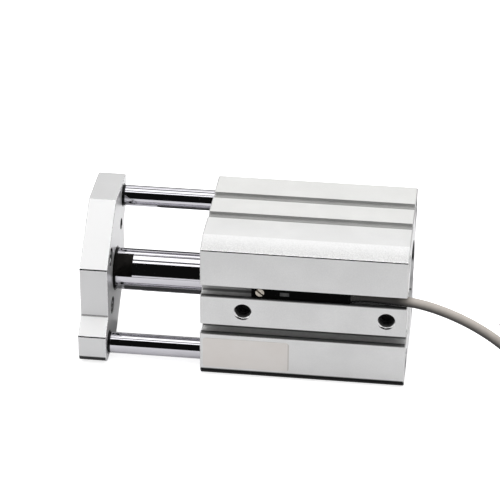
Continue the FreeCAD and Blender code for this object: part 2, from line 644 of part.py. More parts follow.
def make_guide_rods():
    start = "(%s - %s)" % (PLATE_INNER_X, of("rod_seat_depth"))
    length = "(%s + %s + %s)" % (of("rod_seat_depth"), GAP, of("guide_reach"))
    chamfer = of("rod_chamfer")
    edge = "(%s - %s)" % (of("guide_radius"), chamfer)
    thread = "(%s + %s)" % (of("guide_bolt_radius"), of("seat_clearance"))
    thread_end = "(%s + 2 * %s)" % (of("guide_bolt_length"), of("guide_bolt_radius"))
    rods = []
    for level, side in (("upper", 1), ("lower", -1)):
        across = "%d * %s" % (side, GUIDE_ACROSS)
        up = "%s + %d * %s" % (AXIS_Z, side, GUIDE_UP)
        rods.append(turned("guide_rod_" + level, [
            ("0", thread), ("0", edge), (chamfer, of("guide_radius")),
            ("(%s - %s)" % (length, chamfer), of("guide_radius")), (length, edge), (length, "0"),
            ("(%s + %s)" % (thread_end, thread), "0"), (thread_end, thread)], start, across, up))
    return rods


def make_tooling_plate():
    """A plate with two lugs and two long bevels, the same when turned half a turn about X."""
    body = new_body("tooling_plate")
    profile = new_sketch(body, "plate_profile", "YZ_Plane")
    top = PLATE_TOP
    waist_high = "(%s - %s * %s)" % (top, of("plate_bevel_share"), top)
    lug_low = "(%s - %s)" % (top, of("plate_lug_height"))
    waist_start = "(%s - %s)" % (lug_low, of("plate_lug_slope"))
    half_turn = [
        ("(-%s)" % PLATE_WAIST, waist_high),
        ("(%s - %s)" % (of("plate_bevel_across"), PLATE_WAIST), top),
        (PLATE_LUG, top), (PLATE_LUG, lug_low), (PLATE_WAIST, waist_start)]
    turned_back = [("(-%s)" % across, "(-%s)" % up) for across, up in half_turn]
    outline(profile, half_turn + turned_back)
    block = pad(body, profile, of("plate_thickness"))
    lug = amount_of(PLATE_LUG)
    low = amount_of(top)
    corner = edges_where(block, lambda p: abs(p.y + lug) < 1e-4 and abs(p.z + low) < 1e-4)
    block = soften(body, "Fillet", "lug_rounding", block, corner, "Radius", of("plate_corner"))
    for face_x in (0.0, amount_of(of("plate_thickness"))):
        rim = edges_where(block, lambda p: abs(p.x - face_x) < 1e-4)
        name = "plate_break_%d" % round(face_x)
        block = soften(body, "Chamfer", name, block, rim, "Size", of("plate_break"))

    rod_hole = "(%s + %s)" % (of("rod_bolt_radius"), of("bolt_clearance"))
    rod_head = "(%s + %s)" % (of("rod_bolt_head"), of("bolt_clearance"))
    guide_hole = "(%s + %s)" % (of("guide_bolt_radius"), of("bolt_clearance"))
    guide_head = "(%s + %s)" % (of("guide_bolt_head"), of("bolt_clearance"))
    through = new_sketch(body, "plate_through_holes", "YZ_Plane")
    guide_heads = new_sketch(body, "guide_head_seats", "YZ_Plane")
    rod_seats = new_sketch(body, "rod_seats", "YZ_Plane", of("plate_thickness"))
    rod_head_seat = new_sketch(body, "rod_head_seat", "YZ_Plane")
    circle(through, rod_hole)
    circle(rod_head_seat, rod_head)
    circle(rod_seats, "(%s + %s)" % (of("rod_radius"), of("seat_clearance")))
    for side in (1, -1):
        across = "(%d * %s)" % (side, GUIDE_ACROSS)
        up = "(%d * %s)" % (side, GUIDE_UP)
        circle(through, guide_hole, across, up)
        circle(guide_heads, guide_head, across, up)
        circle(rod_seats, "(%s + %s)" % (of("guide_radius"), of("seat_clearance")), across, up)
    pocket(body, through)
    pocket(body, guide_heads, "%s + %s" % (of("guide_bolt_head_height"), of("head_recess")))
    pocket(body, rod_head_seat, "%s + %s" % (of("rod_bolt_head_height"), of("head_recess")))
    pocket(body, rod_seats, of("rod_seat_depth"), False)

    tooling = new_sketch(body, "tooling_holes", "YZ_Plane")
    across = "(%s / 2)" % of("plate_hole_across")
    up = "(%s * %s)" % (of("plate_hole_share"), GUIDE_UP)
    for side, height in ((-1, 1), (-1, -1), (1, -1)):
        circle(tooling, of("tapped_five"), "(%d * %s)" % (side, across), "(%d * %s)" % (height, up))
    small_across = "(%s - %s)" % (PLATE_WAIST, of("small_hole_side"))
    circle(tooling, of("tapped_four"), small_across, "(%s * %s)" % (of("small_hole_share"), GUIDE_UP))
    drilled = pocket(body, tooling)
    thickness = amount_of(of("plate_thickness"))
    radius = amount_of(of("tapped_five"))
    mouths = []
    for index, edge in enumerate(drilled.Shape.Edges, 1):
        is_round = isinstance(edge.Curve, Part.Circle) and abs(edge.Curve.Radius - radius) < 1e-4
        if is_round and min(abs(edge.Curve.Center.x), abs(edge.Curve.Center.x - thickness)) < 1e-4:
            mouths.append("Edge%d" % index)
    soften(body, "Chamfer", "tooling_hole_mouths", drilled, mouths, "Size", of("tapped_chamfer"))
    place(body, PLATE_X)
    return body


def socket_screw(label, prefix, y_place="0", z_place=AXIS_Z):
    """A screw whose head lies in the plate's outer face, with a hexagon socket."""
    head = of(prefix + "_head")
    radius = of(prefix + "_radius")
    height = of(prefix + "_head_height")
    length = "(%s + %s)" % (height, of(prefix + "_length"))
    chamfer = "(%s * %s)" % (of("bolt_head_break"), head)
    tip = "(%s * %s)" % (of("bolt_tip_break"), radius)
    body = turned(label, [
        ("0", "0"), ("0", "(%s - %s)" % (head, chamfer)), (chamfer, head), (height, head),
        (height, radius), ("(%s - %s)" % (length, tip), radius),
        (length, "(%s - %s)" % (radius, tip)), (length, "0")],
        "%s + %s" % (PLATE_X, of("head_recess")), y_place, z_place)
    socket = new_sketch(body, label + "_socket", "YZ_Plane")
    reach = "(%s / 2 / cos(30 deg))" % of(prefix + "_key")
    corners = []
    for corner in range(6):
        angle = 60 * corner + 30
        across = round(math.cos(math.radians(angle)), 9)
        up = round(math.sin(math.radians(angle)), 9)
        corners.append((("0" if across == 0 else "(%r * %s)" % (across, reach)), "(%r * %s)" % (up, reach)))
    outline(socket, corners)
    pocket(body, socket, "(%s * %s)" % (of("bolt_socket_share"), height))
    return body


def make_screws():
    """The piston rod's screw, and the guide rods' two screws as one group."""
    rod_screw = socket_screw("piston_rod_screw", "rod_bolt")
    pair = []
    for level, side in (("upper", 1), ("lower", -1)):
        across = "%d * %s" % (side, GUIDE_ACROSS)
        up = "%s + %d * %s" % (AXIS_Z, side, GUIDE_UP)
        pair.append(socket_screw("guide_screw_" + level, "guide_bolt", across, up))
    group = doc.addObject("Part::Compound", "guide_rod_screws_group")
    group.Label = "guide_rod_screws"
    group.Links = pair
    doc.recompute()
    return [rod_screw, group]


# Position switch in the upper front slot

def make_switch():
    """Housing, clamping screw, indicator window and cable sleeve."""
    start = "%s + %s" % (BODY_X, of("switch_setback"))
    depth = of("slot_axis_depth")
    face = "(%s - %s)" % (depth, of("switch_sink"))
    half = "(%s / 2)" % of("switch_width")
    slot_y = "%s + %s" % (FRONT_Y, depth)

    housing = new_body("switch_housing")
    back = new_sketch(housing, "housing_back", "YZ_Plane")
    circle(back, of("switch_radius"))
    pad(housing, back, of("switch_length"))
    front = new_sketch(housing, "housing_front", "YZ_Plane")
    rectangle(front, "(-%s)" % face, "(-%s)" % half, "0", half)
    pad(housing, front, of("switch_length"))
    screw_hole = new_sketch(housing, "clamp_hole", "XZ_Plane")
    circle(screw_hole, "(%s + %s)" % (of("switch_screw_radius"), of("seat_clearance")),
           of("switch_screw_setback"), "0")
    hole = housing.newObject("PartDesign::Pocket", "clamp_hole_cut")
    hole.Profile = screw_hole
    hole.Type = "ThroughAll"
    hole.Midplane = True
    doc.recompute()
    seat = new_sketch(housing, "window_seat", "XZ_Plane", face)
    window_low = "(-%s / 2)" % of("window_width")
    window_end = "(%s + %s)" % (of("window_setback"), of("window_length"))
    rectangle(seat, of("window_setback"), window_low, window_end, "(%s / 2)" % of("window_width"))
    pocket(housing, seat, of("window_depth"), False)
    place(housing, start, slot_y, SLOT_Z)

    screw = new_body("switch_screw")
    shank = new_sketch(screw, "clamp_shank", "XZ_Plane")
    circle(shank, of("switch_screw_radius"))
    pad(screw, shank, of("switch_screw_length"))
    blade = new_sketch(screw, "clamp_slot", "XZ_Plane", of("switch_screw_length"))
    half_slot = "(%s / 2)" % of("switch_screw_slot")
    reach = "(2 * %s)" % of("switch_screw_radius")
    rectangle(blade, "(-%s)" % reach, "(-%s)" % half_slot, reach, half_slot)
    pocket(screw, blade, of("switch_screw_slot_depth"), False)
    turn = amount_of(of("switch_screw_turn"))
    screw.Placement.Rotation = FreeCAD.Rotation(FreeCAD.Vector(0, 1, 0), turn)
    contact = "sqrt(pow(%s; 2) - pow(%s; 2))" % (of("slot_radius"), of("switch_screw_radius"))
    floor = "(%s + %s - %s)" % (slot_y, contact, of("seat_clearance"))
    place(screw, "%s + %s" % (start, of("switch_screw_setback")), floor, SLOT_Z)

    window = doc.addObject("Part::Box", "switch_window_box")
    window.Label = "switch_window"
    window.setExpression("Length", of("window_length"))
    window.setExpression("Width", of("window_depth"))
    window.setExpression("Height", of("window_width"))
    place(window, "%s + %s" % (start, of("window_setback")), "%s - %s" % (slot_y, face),
          "%s - %s / 2" % (SLOT_Z, of("window_width")))

    cable_y = "%s + %s" % (FRONT_Y, of("cable_depth"))
    gland = turned("cable_sleeve", [
        ("0", "0"), ("0", of("gland_radius")),
        (of("gland_length"), "(%s + %s)" % (of("cable_radius"), of("seat_clearance"))),
        (of("gland_length"), "0")], "%s + %s" % (start, of("switch_length")), cable_y, SLOT_Z)
    return [housing, screw, window, gland]


# Signal cable: out of the slot, down to the surface and into a put-away coil

BEND_SHARE = 0.45  # how much of the shorter run a bend takes


def round_route(points):
    """Straight runs joined by tangent arcs, as one wire."""
    edges = []
    last = points[0]
    for before, corner, after in zip(points, points[1:], points[2:]):
        towards = (corner - before).normalize()
        away = (after - corner).normalize()
        turn = towards.getAngle(away)
        cut = BEND_SHARE * min((corner - before).Length, (after - corner).Length)
        radius = cut / math.tan(turn / 2)
        print("cable bend radius %.1f" % radius)
        bisector = (away - towards).normalize()
        to_centre = math.hypot(radius, cut)
        start = corner - towards * cut
        end = corner + away * cut
        middle = corner + bisector * (to_centre - radius)
        edges.append(Part.LineSegment(last, start).toShape())
        edges.append(Part.Arc(start, middle, end).toShape())
        last = end
    edges.append(Part.LineSegment(last, points[-1]).toShape())
    return Part.Wire(edges)


def tube(label, points, radius):
    """A plain round tube along a route, checked against its section times its length."""
    route = round_route(points)
    along = (points[1] - points[0]).normalize()
    section = Part.Wire([Part.Circle(points[0], along, radius).toShape()])
    shape = route.makePipeShell([section], True, True)
    expected = math.pi * radius ** 2 * route.Length
    if abs(shape.Volume / expected - 1) > 0.01:
        raise RuntimeError(label + " is not a whole tube")
    print("%s length %.1f" % (label, route.Length))
    piece = doc.addObject("Part::Feature", label + "_tube")
    piece.Label = label
    piece.Shape = shape
    return piece


CABLE_ROUTE = [
    (41.5, -17.5, 27.2), (50.5, -18.6, 26.9), (59.5, -19.7, 24.5), (67.5, -20.7, 20.9), (74.5, -21.6, 16.2),
    (81.0, -22.4, 10.5), (87.0, -22.9, 5.9), (92.8, -23.0, 2.9),
]
COIL_CENTRE = (97.5, -4.4)
COIL_BASE = "(%s + %s)" % (of("tie_thickness"), of("seat_clearance"))
COIL_HEIGHT = "(2 * %s * %s)" % (of("coil_layers"), of("cable_radius"))
BROWN_CORE = [(94.5, 13.4, 4.7), (88.5, 12.0, 3.9), (82.5, 10.6, 1.5), (76.5, 9.4, 0.62)]
BLUE_CORE = [(94.5, 14.6, 4.7), (88.5, 14.0, 3.7), (82.5, 14.2, 1.4), (76.5, 15.6, 0.62)]


def make_coil(inner, outer):
    """The outer shape of the turns, as one closed ring."""
    body = new_body("cable_coil")
    section = new_sketch(body, "coil_section", "XZ_Plane")
    rectangle(section, inner, "0", outer, COIL_HEIGHT)
    ring = body.newObject("PartDesign::Revolution", "coil_ring")
    ring.Profile = section
    ring.ReferenceAxis = (section, ["V_Axis"])
    ring.Angle = 360
    doc.recompute()
    rims = []
    for index, edge in enumerate(ring.Shape.Edges, 1):
        if isinstance(edge.Curve, Part.Circle):
            rims.append("Edge%d" % index)
    soften(body, "Fillet", "coil_rims", ring, rims, "Radius", of("coil_rounding"))
    place(body, str(COIL_CENTRE[0]), str(COIL_CENTRE[1]), COIL_BASE)
    return body


def make_tie(inner, outer):
    """A flat band round the bundle, at the far side of the coil."""
    body = new_body("cable_tie")
    band = new_sketch(body, "tie_band", "YZ_Plane")
    gap = of("seat_clearance")
    wall = of("tie_thickness")
    near = "(%s - %s)" % (inner, of("tie_clearance"))
    far = "(%s + %s)" % (outer, of("tie_clearance"))
    rectangle(band, near, "(-%s)" % gap, far, "(%s + %s)" % (COIL_HEIGHT, gap))
    rectangle(band, "(%s - %s)" % (near, wall), "(-%s - %s)" % (gap, wall),
              "(%s + %s)" % (far, wall), "(%s + %s + %s)" % (COIL_HEIGHT, gap, wall))
    pad(body, band, of("tie_width"))
    place(body, "%s - %s / 2" % (COIL_CENTRE[0], of("tie_width")), str(COIL_CENTRE[1]), COIL_BASE)
    return body


def make_cable():
    start_x = amount_of("%s + %s + %s + %s" % (
        BODY_X, of("switch_setback"), of("switch_length"), of("gland_length")))
    start_y = amount_of("%s + %s" % (FRONT_Y, of("cable_depth")))
    start_z = amount_of(SLOT_Z)
    first = FreeCAD.Vector(start_x, start_y, start_z)
    last = FreeCAD.Vector(COIL_CENTRE[0], COIL_CENTRE[1] - amount_of(of("coil_outer")),
                          amount_of("%s + %s" % (COIL_BASE, of("cable_radius"))))
    route = [first] + [FreeCAD.Vector(*spot) for spot in CABLE_ROUTE] + [last]
    cable = tube("signal_cable", route, amount_of(of("cable_radius")))
    inner = "(%s - %s)" % (of("coil_inner"), of("cable_radius"))
    outer = "(%s + %s)" % (of("coil_outer"), of("cable_radius"))
    coil = make_coil(inner, outer)
    tie = make_tie(inner, outer)
    cores = []
    for label, spots in (("core_brown", BROWN_CORE), ("core_blue", BLUE_CORE)):
        cores.append(tube(label, [FreeCAD.Vector(*spot) for spot in spots], amount_of(of("core_radius"))))
    return [cable, coil, tie] + cores


def make_label():
    """A bare foil label on the lower front flat."""
    body = new_body("label_plate")
    face = new_sketch(body, "label_outline", "XZ_Plane")
    slot_edge = "(%s - %s - %s / 2)" % (AXIS_Z, of("narrow_slot_offset"), of("narrow_slot_opening"))
    height = "(%s - %s - %s)" % (slot_edge, of("label_margin"), of("label_base"))
    rectangle(face, "0", "0", of("label_length"), height)
    foil = pad(body, face, of("label_thickness"))
    corners = [name for name in edges_where(foil, lambda p: True)
               if foil.Shape.getElement(name).Length < 2 * amount_of(of("label_thickness"))]
    soften(body, "Fillet", "label_corners", foil, corners, "Radius", of("label_corner"))
    place(body, "%s + %s" % (BODY_X, of("label_setback")), "-%s" % FLANGE_Y, of("label_base"))
    return body


nodes = [make_cylinder_body(), make_rod_cover(), make_rod_seal(), make_rod_bush(), make_rod_cover_seal(),
         make_retaining_ring(), make_head_cover(), make_head_seal(), make_label()]
nodes += make_guide_bushes()
nodes += make_switch()
nodes += [make_piston(), make_piston_rod(), make_tooling_plate()]
nodes += make_piston_rings()
nodes += make_bumpers()
nodes += make_guide_rods()
nodes += make_screws()
nodes += make_cable()
doc.recompute()

for thing in doc.Objects:
    if "Invalid" in thing.State or "Error" in thing.State:
        raise RuntimeError(thing.Name + " failed: " + str(thing.State))
for node in nodes:
    if node.Shape.isNull() or not node.Shape.isValid():
        raise RuntimeError(node.Label + " has no valid shape")
for node in nodes:
    node.Shape.exportStep("parts/%s.step" % node.Label)
    print("%-24s solids %d volume %9.1f" % (node.Label, len(node.Shape.Solids), node.Shape.Volume))
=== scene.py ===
import json
import math

import bpy
from bpy.props import FloatProperty, FloatVectorProperty, PointerProperty
from mathutils import Matrix, Vector


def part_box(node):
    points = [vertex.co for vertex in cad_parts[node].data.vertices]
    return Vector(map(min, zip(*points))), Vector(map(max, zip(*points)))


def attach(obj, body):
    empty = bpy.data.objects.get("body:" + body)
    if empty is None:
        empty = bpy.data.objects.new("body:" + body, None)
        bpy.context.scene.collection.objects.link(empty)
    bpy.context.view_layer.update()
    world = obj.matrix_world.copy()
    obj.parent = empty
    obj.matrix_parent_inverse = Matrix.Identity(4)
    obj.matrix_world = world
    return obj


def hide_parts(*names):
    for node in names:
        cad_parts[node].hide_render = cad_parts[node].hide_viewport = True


bl_info = {
    "name": "Guided pneumatic cylinder",
    "version": (1, 0, 0),
    "blender": (4, 5, 0),
    "location": "3D View > Sidebar > Cylinder",
    "description": "Dresses the solids of a guided pneumatic cylinder with its finishes, cable and studio",
    "category": "Object",
}

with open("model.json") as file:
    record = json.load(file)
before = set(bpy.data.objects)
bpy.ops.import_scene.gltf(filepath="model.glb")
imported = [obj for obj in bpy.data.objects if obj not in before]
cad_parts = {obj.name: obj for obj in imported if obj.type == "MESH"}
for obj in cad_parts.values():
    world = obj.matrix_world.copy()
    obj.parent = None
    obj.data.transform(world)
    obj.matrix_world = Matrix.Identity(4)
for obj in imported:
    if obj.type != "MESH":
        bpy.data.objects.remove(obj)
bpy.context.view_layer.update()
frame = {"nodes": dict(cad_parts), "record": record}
MM = 0.001


# Slots, bodies and places from the frame


def low_end(node):
    """The middle of the end of a CAD node that has the lowest X."""
    low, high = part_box(node)
    return Vector((low.x, (low.y + high.y) / 2, (low.z + high.z) / 2))


record = frame["record"]
NODE_SLOTS = {row["node"]: row["material_slot"] for row in record["subparts"]}
NODE_BODIES = {node: body for body, nodes in record["behaviour"]["bodies"].items() for node in nodes}
MOUNTS = {row["name"]: Vector(row["pos_m"]) for row in record["mounts"]}
PORTS = [MOUNTS[name].xz for name in ("rod_end_port", "head_end_port")]
TAPPED_HOLES = [MOUNTS["tooling_hole_" + place].yz for place in ("lower_front", "lower_back", "upper_front")]
SMALL_HOLE = MOUNTS["tooling_hole_small"].yz
PISTON_AXIS = low_end("piston_rod").yz
GUIDE_AXES = [low_end(node).yz for node in ("guide_rod_upper", "guide_rod_lower")]


# Stretches of the body and the plate, in millimetres, which their finishes tell apart

BODY_LENGTH = (-11.0, 46.0)
PLATE_THICKNESS = (-46.13, -38.37)
SLOTS = (11.0, 31.2)
SLOT_MOUTHS = ((11.0, 16.0), (24.0, 31.2))
SLOT_WALLS = ((13.4, 13.85), (25.2, 25.65))
GROOVE_FLOOR_LEVEL = (41.0, 41.3)
GROOVE_WALL_LEVEL = (41.2, 41.95)
GROOVE_FLOORS = ((-4.3, -1.9), (7.2, 9.6))
GROOVE_WALLS = ((-0.95, -0.6), (10.55, 10.9))
FRONT_BEVEL = (-19.35, -13.75)
LUG_CORNERS = [Vector(corner) * MM for corner in ((-14.0, 13.1), (14.0, 28.9))]


# Sizes and colours that a user would change


def colour(name, description, default):
    return FloatVectorProperty(
        name=name, description=description, default=default, subtype="COLOR", size=3, min=0, max=1)


def length(name, description, default):
    return FloatProperty(
        name=name, description=description, default=default, unit="LENGTH", min=0, precision=5)


def angle(name, description, default):
    return FloatProperty(name=name, description=description, default=default, subtype="ANGLE")


def share(name, description, default):
    return FloatProperty(name=name, description=description, default=default, subtype="FACTOR", min=0, max=1)


class MetalFinish(bpy.types.PropertyGroup):
    """Colours, roughness and edges of the metal parts."""

    body_colour: colour("Body", "Clear anodised extrusion", (0.8, 0.8, 0.795))
    plate_colour: colour("Plate", "Clear anodised, finely machined", (0.72, 0.72, 0.72))
    chrome_colour: colour("Rods", "Hard chrome", (0.66, 0.65, 0.69))
    cover_colour: colour("Covers", "Turned aluminium", (0.62, 0.63, 0.64))
    bronze_colour: colour("Bushes", "Sintered bronze", (0.62, 0.47, 0.27))
    brass_colour: colour("Clamping screw", "Nickel plated brass", (0.50, 0.46, 0.40))
    body_roughness: share("Body roughness", "Satin of the anodised body", 0.42)
    rod_roughness: share("Rod roughness", "Polish of the ground rods", 0.035)
    grain: length("Grain", "Size of the anodised grain", 0.00022)
    edge_radius: length("Edge", "Rounding of the machined edges", 0.00012)


class CableFinish(bpy.types.PropertyGroup):
    """Size and colours of the signal cable."""

    diameter: length("Diameter", "Outside of the round cable", 0.0028)
    lead_length: length("Length", "Jacket from the switch to its bare end", 0.5)
    core_diameter: length("Core", "Outside of one insulated core", 0.0011)
    jacket_colour: colour("Jacket", "Grey-beige vinyl", (0.60, 0.55, 0.50))


class StudioSettings(bpy.types.PropertyGroup):
    """Camera and light of the plain studio."""

    camera_place: FloatVectorProperty(
        name="Camera", description="Where the camera stands", default=(0.06752, -0.56181, 0.35528),
        subtype="TRANSLATION", unit="LENGTH", size=3)
    camera_yaw: angle("Yaw", "Turn about Z", 0.11903)
    camera_pitch: angle("Pitch", "Tilt, negative below the horizon", -0.52203)
    camera_roll: angle("Roll", "Roll about the view", 0.00525)
    focal_length: FloatProperty(
        name="Lens", description="Focal length on a 36 mm sensor", default=165.95, unit="CAMERA")
    floor_size: length("Floor", "Side of the floor", 6.0)
    sky_strength: share("Sky", "Level of the plain surrounding light", 0.72)
    overhead_power: FloatProperty(
        name="Overhead", description="Power of the overhead lamp", default=5.6, unit="POWER", min=0)


def metals():
    return bpy.context.scene.cylinder_metals


def cable():
    return bpy.context.scene.cylinder_cable


def studio():
    return bpy.context.scene.cylinder_studio


# Shader maths


class Quantity:
    """One output socket of a node tree; the operators add its Math nodes."""

    def __init__(self, owner, socket):
        self.owner = owner
        self.socket = socket

    def maths(self, operation, *others):
        return self.owner.node("ShaderNodeMath", {"operation": operation}, self, *others)

    def __add__(self, other):
        return self.maths("ADD", other)

    __radd__ = __add__

    def __sub__(self, other):
        return self.maths("SUBTRACT", other)

    def __rsub__(self, other):
        return self.owner.node("ShaderNodeMath", {"operation": "SUBTRACT"}, other, self)

    def __mul__(self, other):
        return self.maths("MULTIPLY", other)

    __rmul__ = __mul__

    def __truediv__(self, other):
        return self.maths("DIVIDE", other)

    def __pow__(self, other):
        return self.maths("POWER", other)

    def __abs__(self):
        return self.maths("ABSOLUTE")

    def between(self, low, high):
        """0 below low, 1 above high, smooth in between."""
        return self.owner.node(
            "ShaderNodeMapRange", {"interpolation_type": "SMOOTHSTEP"}, self, low, high, 0.0, 1.0)


class NodeTree:
    """The nodes of a material or of the world, added one by one."""

    def __init__(self, tree):
        self.tree = tree
        tree.nodes.clear()

    def join(self, socket, value):
        if isinstance(value, Quantity):
            self.tree.links.new(value.socket, socket)
        else:
            socket.default_value = value

    def node(self, kind, settings, *values, pick=0, **named):
        """Add a node: its settings first, then the values or links of its sockets."""
        made = self.tree.nodes.new(kind)
        for key, setting in settings.items():
            setattr(made, key, setting)
        for socket, value in zip([s for s in made.inputs if s.enabled], values):
            self.join(socket, value)
        for key, value in named.items():
            self.join(made.inputs[key.replace("_", " ")], value)
        return Quantity(self, made.outputs[pick]) if made.outputs else made


class Finish(NodeTree):
    """A procedural material built up from Object coordinates."""

    def __init__(self, name):
        self.material = bpy.data.materials.new(name)
        self.material.use_nodes = True
        super().__init__(self.material.node_tree)
        shader = self.node("ShaderNodeBsdfPrincipled", {})
        self.sockets = shader.socket.node.inputs
        self.node("ShaderNodeOutputMaterial", {}, shader)
        self.place = self.node("ShaderNodeTexCoord", {}, pick="Object")

    def axes(self):
        return [self.node("ShaderNodeSeparateXYZ", {}, self.place, pick=axis) for axis in "XYZ"]

    def stretched(self, scale, turn=(0, 0, 0), centre=(0, 0, 0)):
        """Object coordinates, moved, turned and scaled."""
        moved = self.node("ShaderNodeVectorMath", {"operation": "SUBTRACT"}, self.place, centre)
        return self.node("ShaderNodeMapping", {}, moved, (0, 0, 0), turn, scale)

    def noise(self, scale, detail, roughness, vector=None):
        return self.node(
            "ShaderNodeTexNoise", {}, Vector=vector or self.place, Scale=scale, Detail=detail,
            Roughness=roughness, pick="Fac")

    def speckle(self, scale):
        return self.node("ShaderNodeTexVoronoi", {}, Vector=self.place, Scale=scale, pick="Distance")

    def rings(self, scale, centre, wobble):
        """Turning or milling marks, as circles about a line along X through the centre."""
        return self.node(
            "ShaderNodeTexWave", {"wave_type": "RINGS", "rings_direction": "X"},
            Vector=self.stretched((1, 1, 1), centre=centre), Scale=scale, Distortion=wobble, Detail=2.0,
            Detail_Scale=2.0, pick="Fac")

    def towards(self, axis):
        """How far the surface faces along a direction of the piece: -1 to 1."""
        normal = self.node("ShaderNodeTexCoord", {}, pick="Normal")
        return self.node("ShaderNodeVectorMath", {"operation": "DOT_PRODUCT"}, normal, axis, pick="Value")

    def facing(self, axis):
        """1 where the surface faces along an axis of the piece, either way."""
        return abs(self.towards(axis)).between(0.8, 0.95)

    def mix(self, factor, first, second):
        first, second = [value if isinstance(value, Quantity) else (*value, 1.0) for value in (first, second)]
        return self.node("ShaderNodeMix", {"data_type": "RGBA"}, factor, first, second, pick=2)

    def dimmed(self, colour, *shares):
        """A colour under layers of painted shade: each share, 0 to 1, takes that much of it away."""
        for share_taken in shares:
            layer = self.mix(share_taken, (1, 1, 1), (0, 0, 0))
            colour = self.node(
                "ShaderNodeMix", {"data_type": "RGBA", "blend_type": "MULTIPLY"}, 1.0, colour, layer, pick=2)
        return colour

    def bump(self, height, distance, strength):
        return self.node("ShaderNodeBump", {}, Strength=strength, Distance=distance, Height=height)

    def set(self, **sockets):
        for key, value in sockets.items():
            name = key.replace("_", " ")
            if name == "Base Color" and not isinstance(value, Quantity):
                value = (*value, 1.0)
            self.join(self.sockets[name], value)
        return self.material


def shaded(base, factor):
    """A colour made lighter or darker."""
    return tuple(min(1.0, channel * factor) for channel in base)


def grey(level):
    return (level, level, level)


def near(first, second, axes, radius):
    """1 nearer than the radius to one of the axes, each given by two of its coordinates."""
    reaches = [((first - axis[0]) ** 2.0 + (second - axis[1]) ** 2.0) ** 0.5 for axis in axes]
    return sum(1 - reach.between(radius - 0.2 * MM, radius) for reach in reaches)


def band(value, low, high, soft=0.1):
    """1 between two places on an axis, in millimetres."""
    past_low = value.between((low - soft) * MM, (low + soft) * MM)
    past_high = value.between((high - soft) * MM, (high + soft) * MM)
    return past_low * (1 - past_high)


def bands(value, stretches, soft=0.1):
    """1 in any of several stretches of an axis, in millimetres."""
    return sum(band(value, low, high, soft) for low, high in stretches)


def behind_flats(y):
    """1 behind the body's front and back flats, so inside a slot or a port."""
    return 1 - abs(y).between(18.9 * MM, 19.3 * MM)


def recess_shade(f):
    """Painted shade inside the sensor slots, the ports and the top grooves: how much it darkens the raw skin.
    """
    x, y, z = f.axes()
    beside_mouth = abs(y).between(16.2 * MM, 17.6 * MM)
    behind_lips = 1 - abs(y).between(19.8 * MM, 20.4 * MM)
    slots = band(z, *SLOTS) * behind_flats(y) * beside_mouth * 0.25
    lower_walls = bands(z, SLOT_WALLS) * behind_lips * 0.7
    ports = near(x, z, PORTS, 3.0 * MM) * behind_flats(y) * 0.8
    groove_walls = band(z, *GROOVE_WALL_LEVEL) * bands(y, GROOVE_WALLS) * 0.2
    groove_floors = band(z, *GROOVE_FLOOR_LEVEL) * bands(y, GROOVE_FLOORS, 0.8) * 0.62
    darkness = (slots + lower_walls + ports + groove_walls + groove_floors) * band(x, *BODY_LENGTH)
    return darkness.maths("MINIMUM", 0.9)


def underside(f):
    """1 where a surface turns down to the floor, such as the rounded foot of a part; the finishes paint shade
    there.
    """
    return f.towards((0, 0, -1)).between(0.0, 0.16)


def head_face_highlight(f):
    """1 where a surface faces along X towards the head end, where the finishes paint a highlight."""
    return f.towards((1, 0, 0)).between(0.9, 0.98)


def anodised_body():
    """Extruded and clear anodised: fine grain, faint drawing lines along X, milled ends; painted glints and
    highlight on the front bevel, painted highlights on the far top and head end, painted shade in the
    recesses, underneath, at the foot and on the upper front.
    """
    f = Finish("anodised_body")
    base = tuple(metals().body_colour)
    y, z = f.axes()[1:]
    grain = f.noise(1 / metals().grain, 3.0, 0.65)
    lines = f.noise(900.0, 2.0, 0.6, f.stretched((0.02, 1.0, 1.0)))
    cloud = f.noise(70.0, 3.0, 0.55)
    milled = f.rings(420.0, (0, -0.034, 0.052), 1.2)
    ends, fronts = f.facing((1, 0, 0)), f.facing((0, 1, 0))
    tone = cloud.between(0.35, 0.7) * 0.45 + grain.between(0.3, 0.75) * 0.55
    skin = f.mix(tone, shaded(base, 0.9), shaded(base, 1.06))
    # Painted highlight on the front bevel: speckled glints, lighter towards the top.
    rise = y.between(-19.5 * MM, -13.8 * MM)
    painted_bevel_dark = f.mix(rise, shaded(base, 0.75), grey(0.82))
    painted_bevel_pale = f.mix(rise, shaded(base, 1.04), grey(0.93))
    bevel = band(y, *FRONT_BEVEL, 0.06) * z.between(39.6 * MM, 40.0 * MM)
    skin = f.mix(bevel, skin, f.mix(grain.between(0.44, 0.56), painted_bevel_dark, painted_bevel_pale))
    # Painted highlight: the top faces towards the back are made lighter.
    far_top_highlight = f.towards((0, 0, 1)).between(0.98, 0.995) * y.between(-10.0 * MM, 4.0 * MM)
    skin = f.mix(far_top_highlight * 0.4, skin, (0.9, 0.9, 0.87))
    # Painted highlight on the faces towards the head end.
    skin = f.mix(head_face_highlight(f) * 0.6, skin, grey(0.95))
    # Painted shade: a dark band along the foot of the front faces.
    foot = fronts * (1 - z.between(2.3 * MM, 2.7 * MM)) * 0.96
    # Painted shade: the front faces darker towards the top.
    upper_front = fronts * z.between(0.0, 40.0 * MM) * 0.06
    in_slots = bands(z, SLOT_MOUTHS) * behind_flats(y)
    texture = grain * (1 - ends) + milled * ends * 0.6 + lines * (1 - ends) * 0.45
    return f.set(
        Base_Color=f.dimmed(skin, recess_shade(f), underside(f) * 0.96, foot, upper_front),
        Metallic=0.8 - in_slots * 0.35,
        Roughness=grain * 0.12 + cloud * 0.06 + (metals().body_roughness - 0.09),
        Normal=f.bump(texture, 0.04 * MM, 0.8),
    )


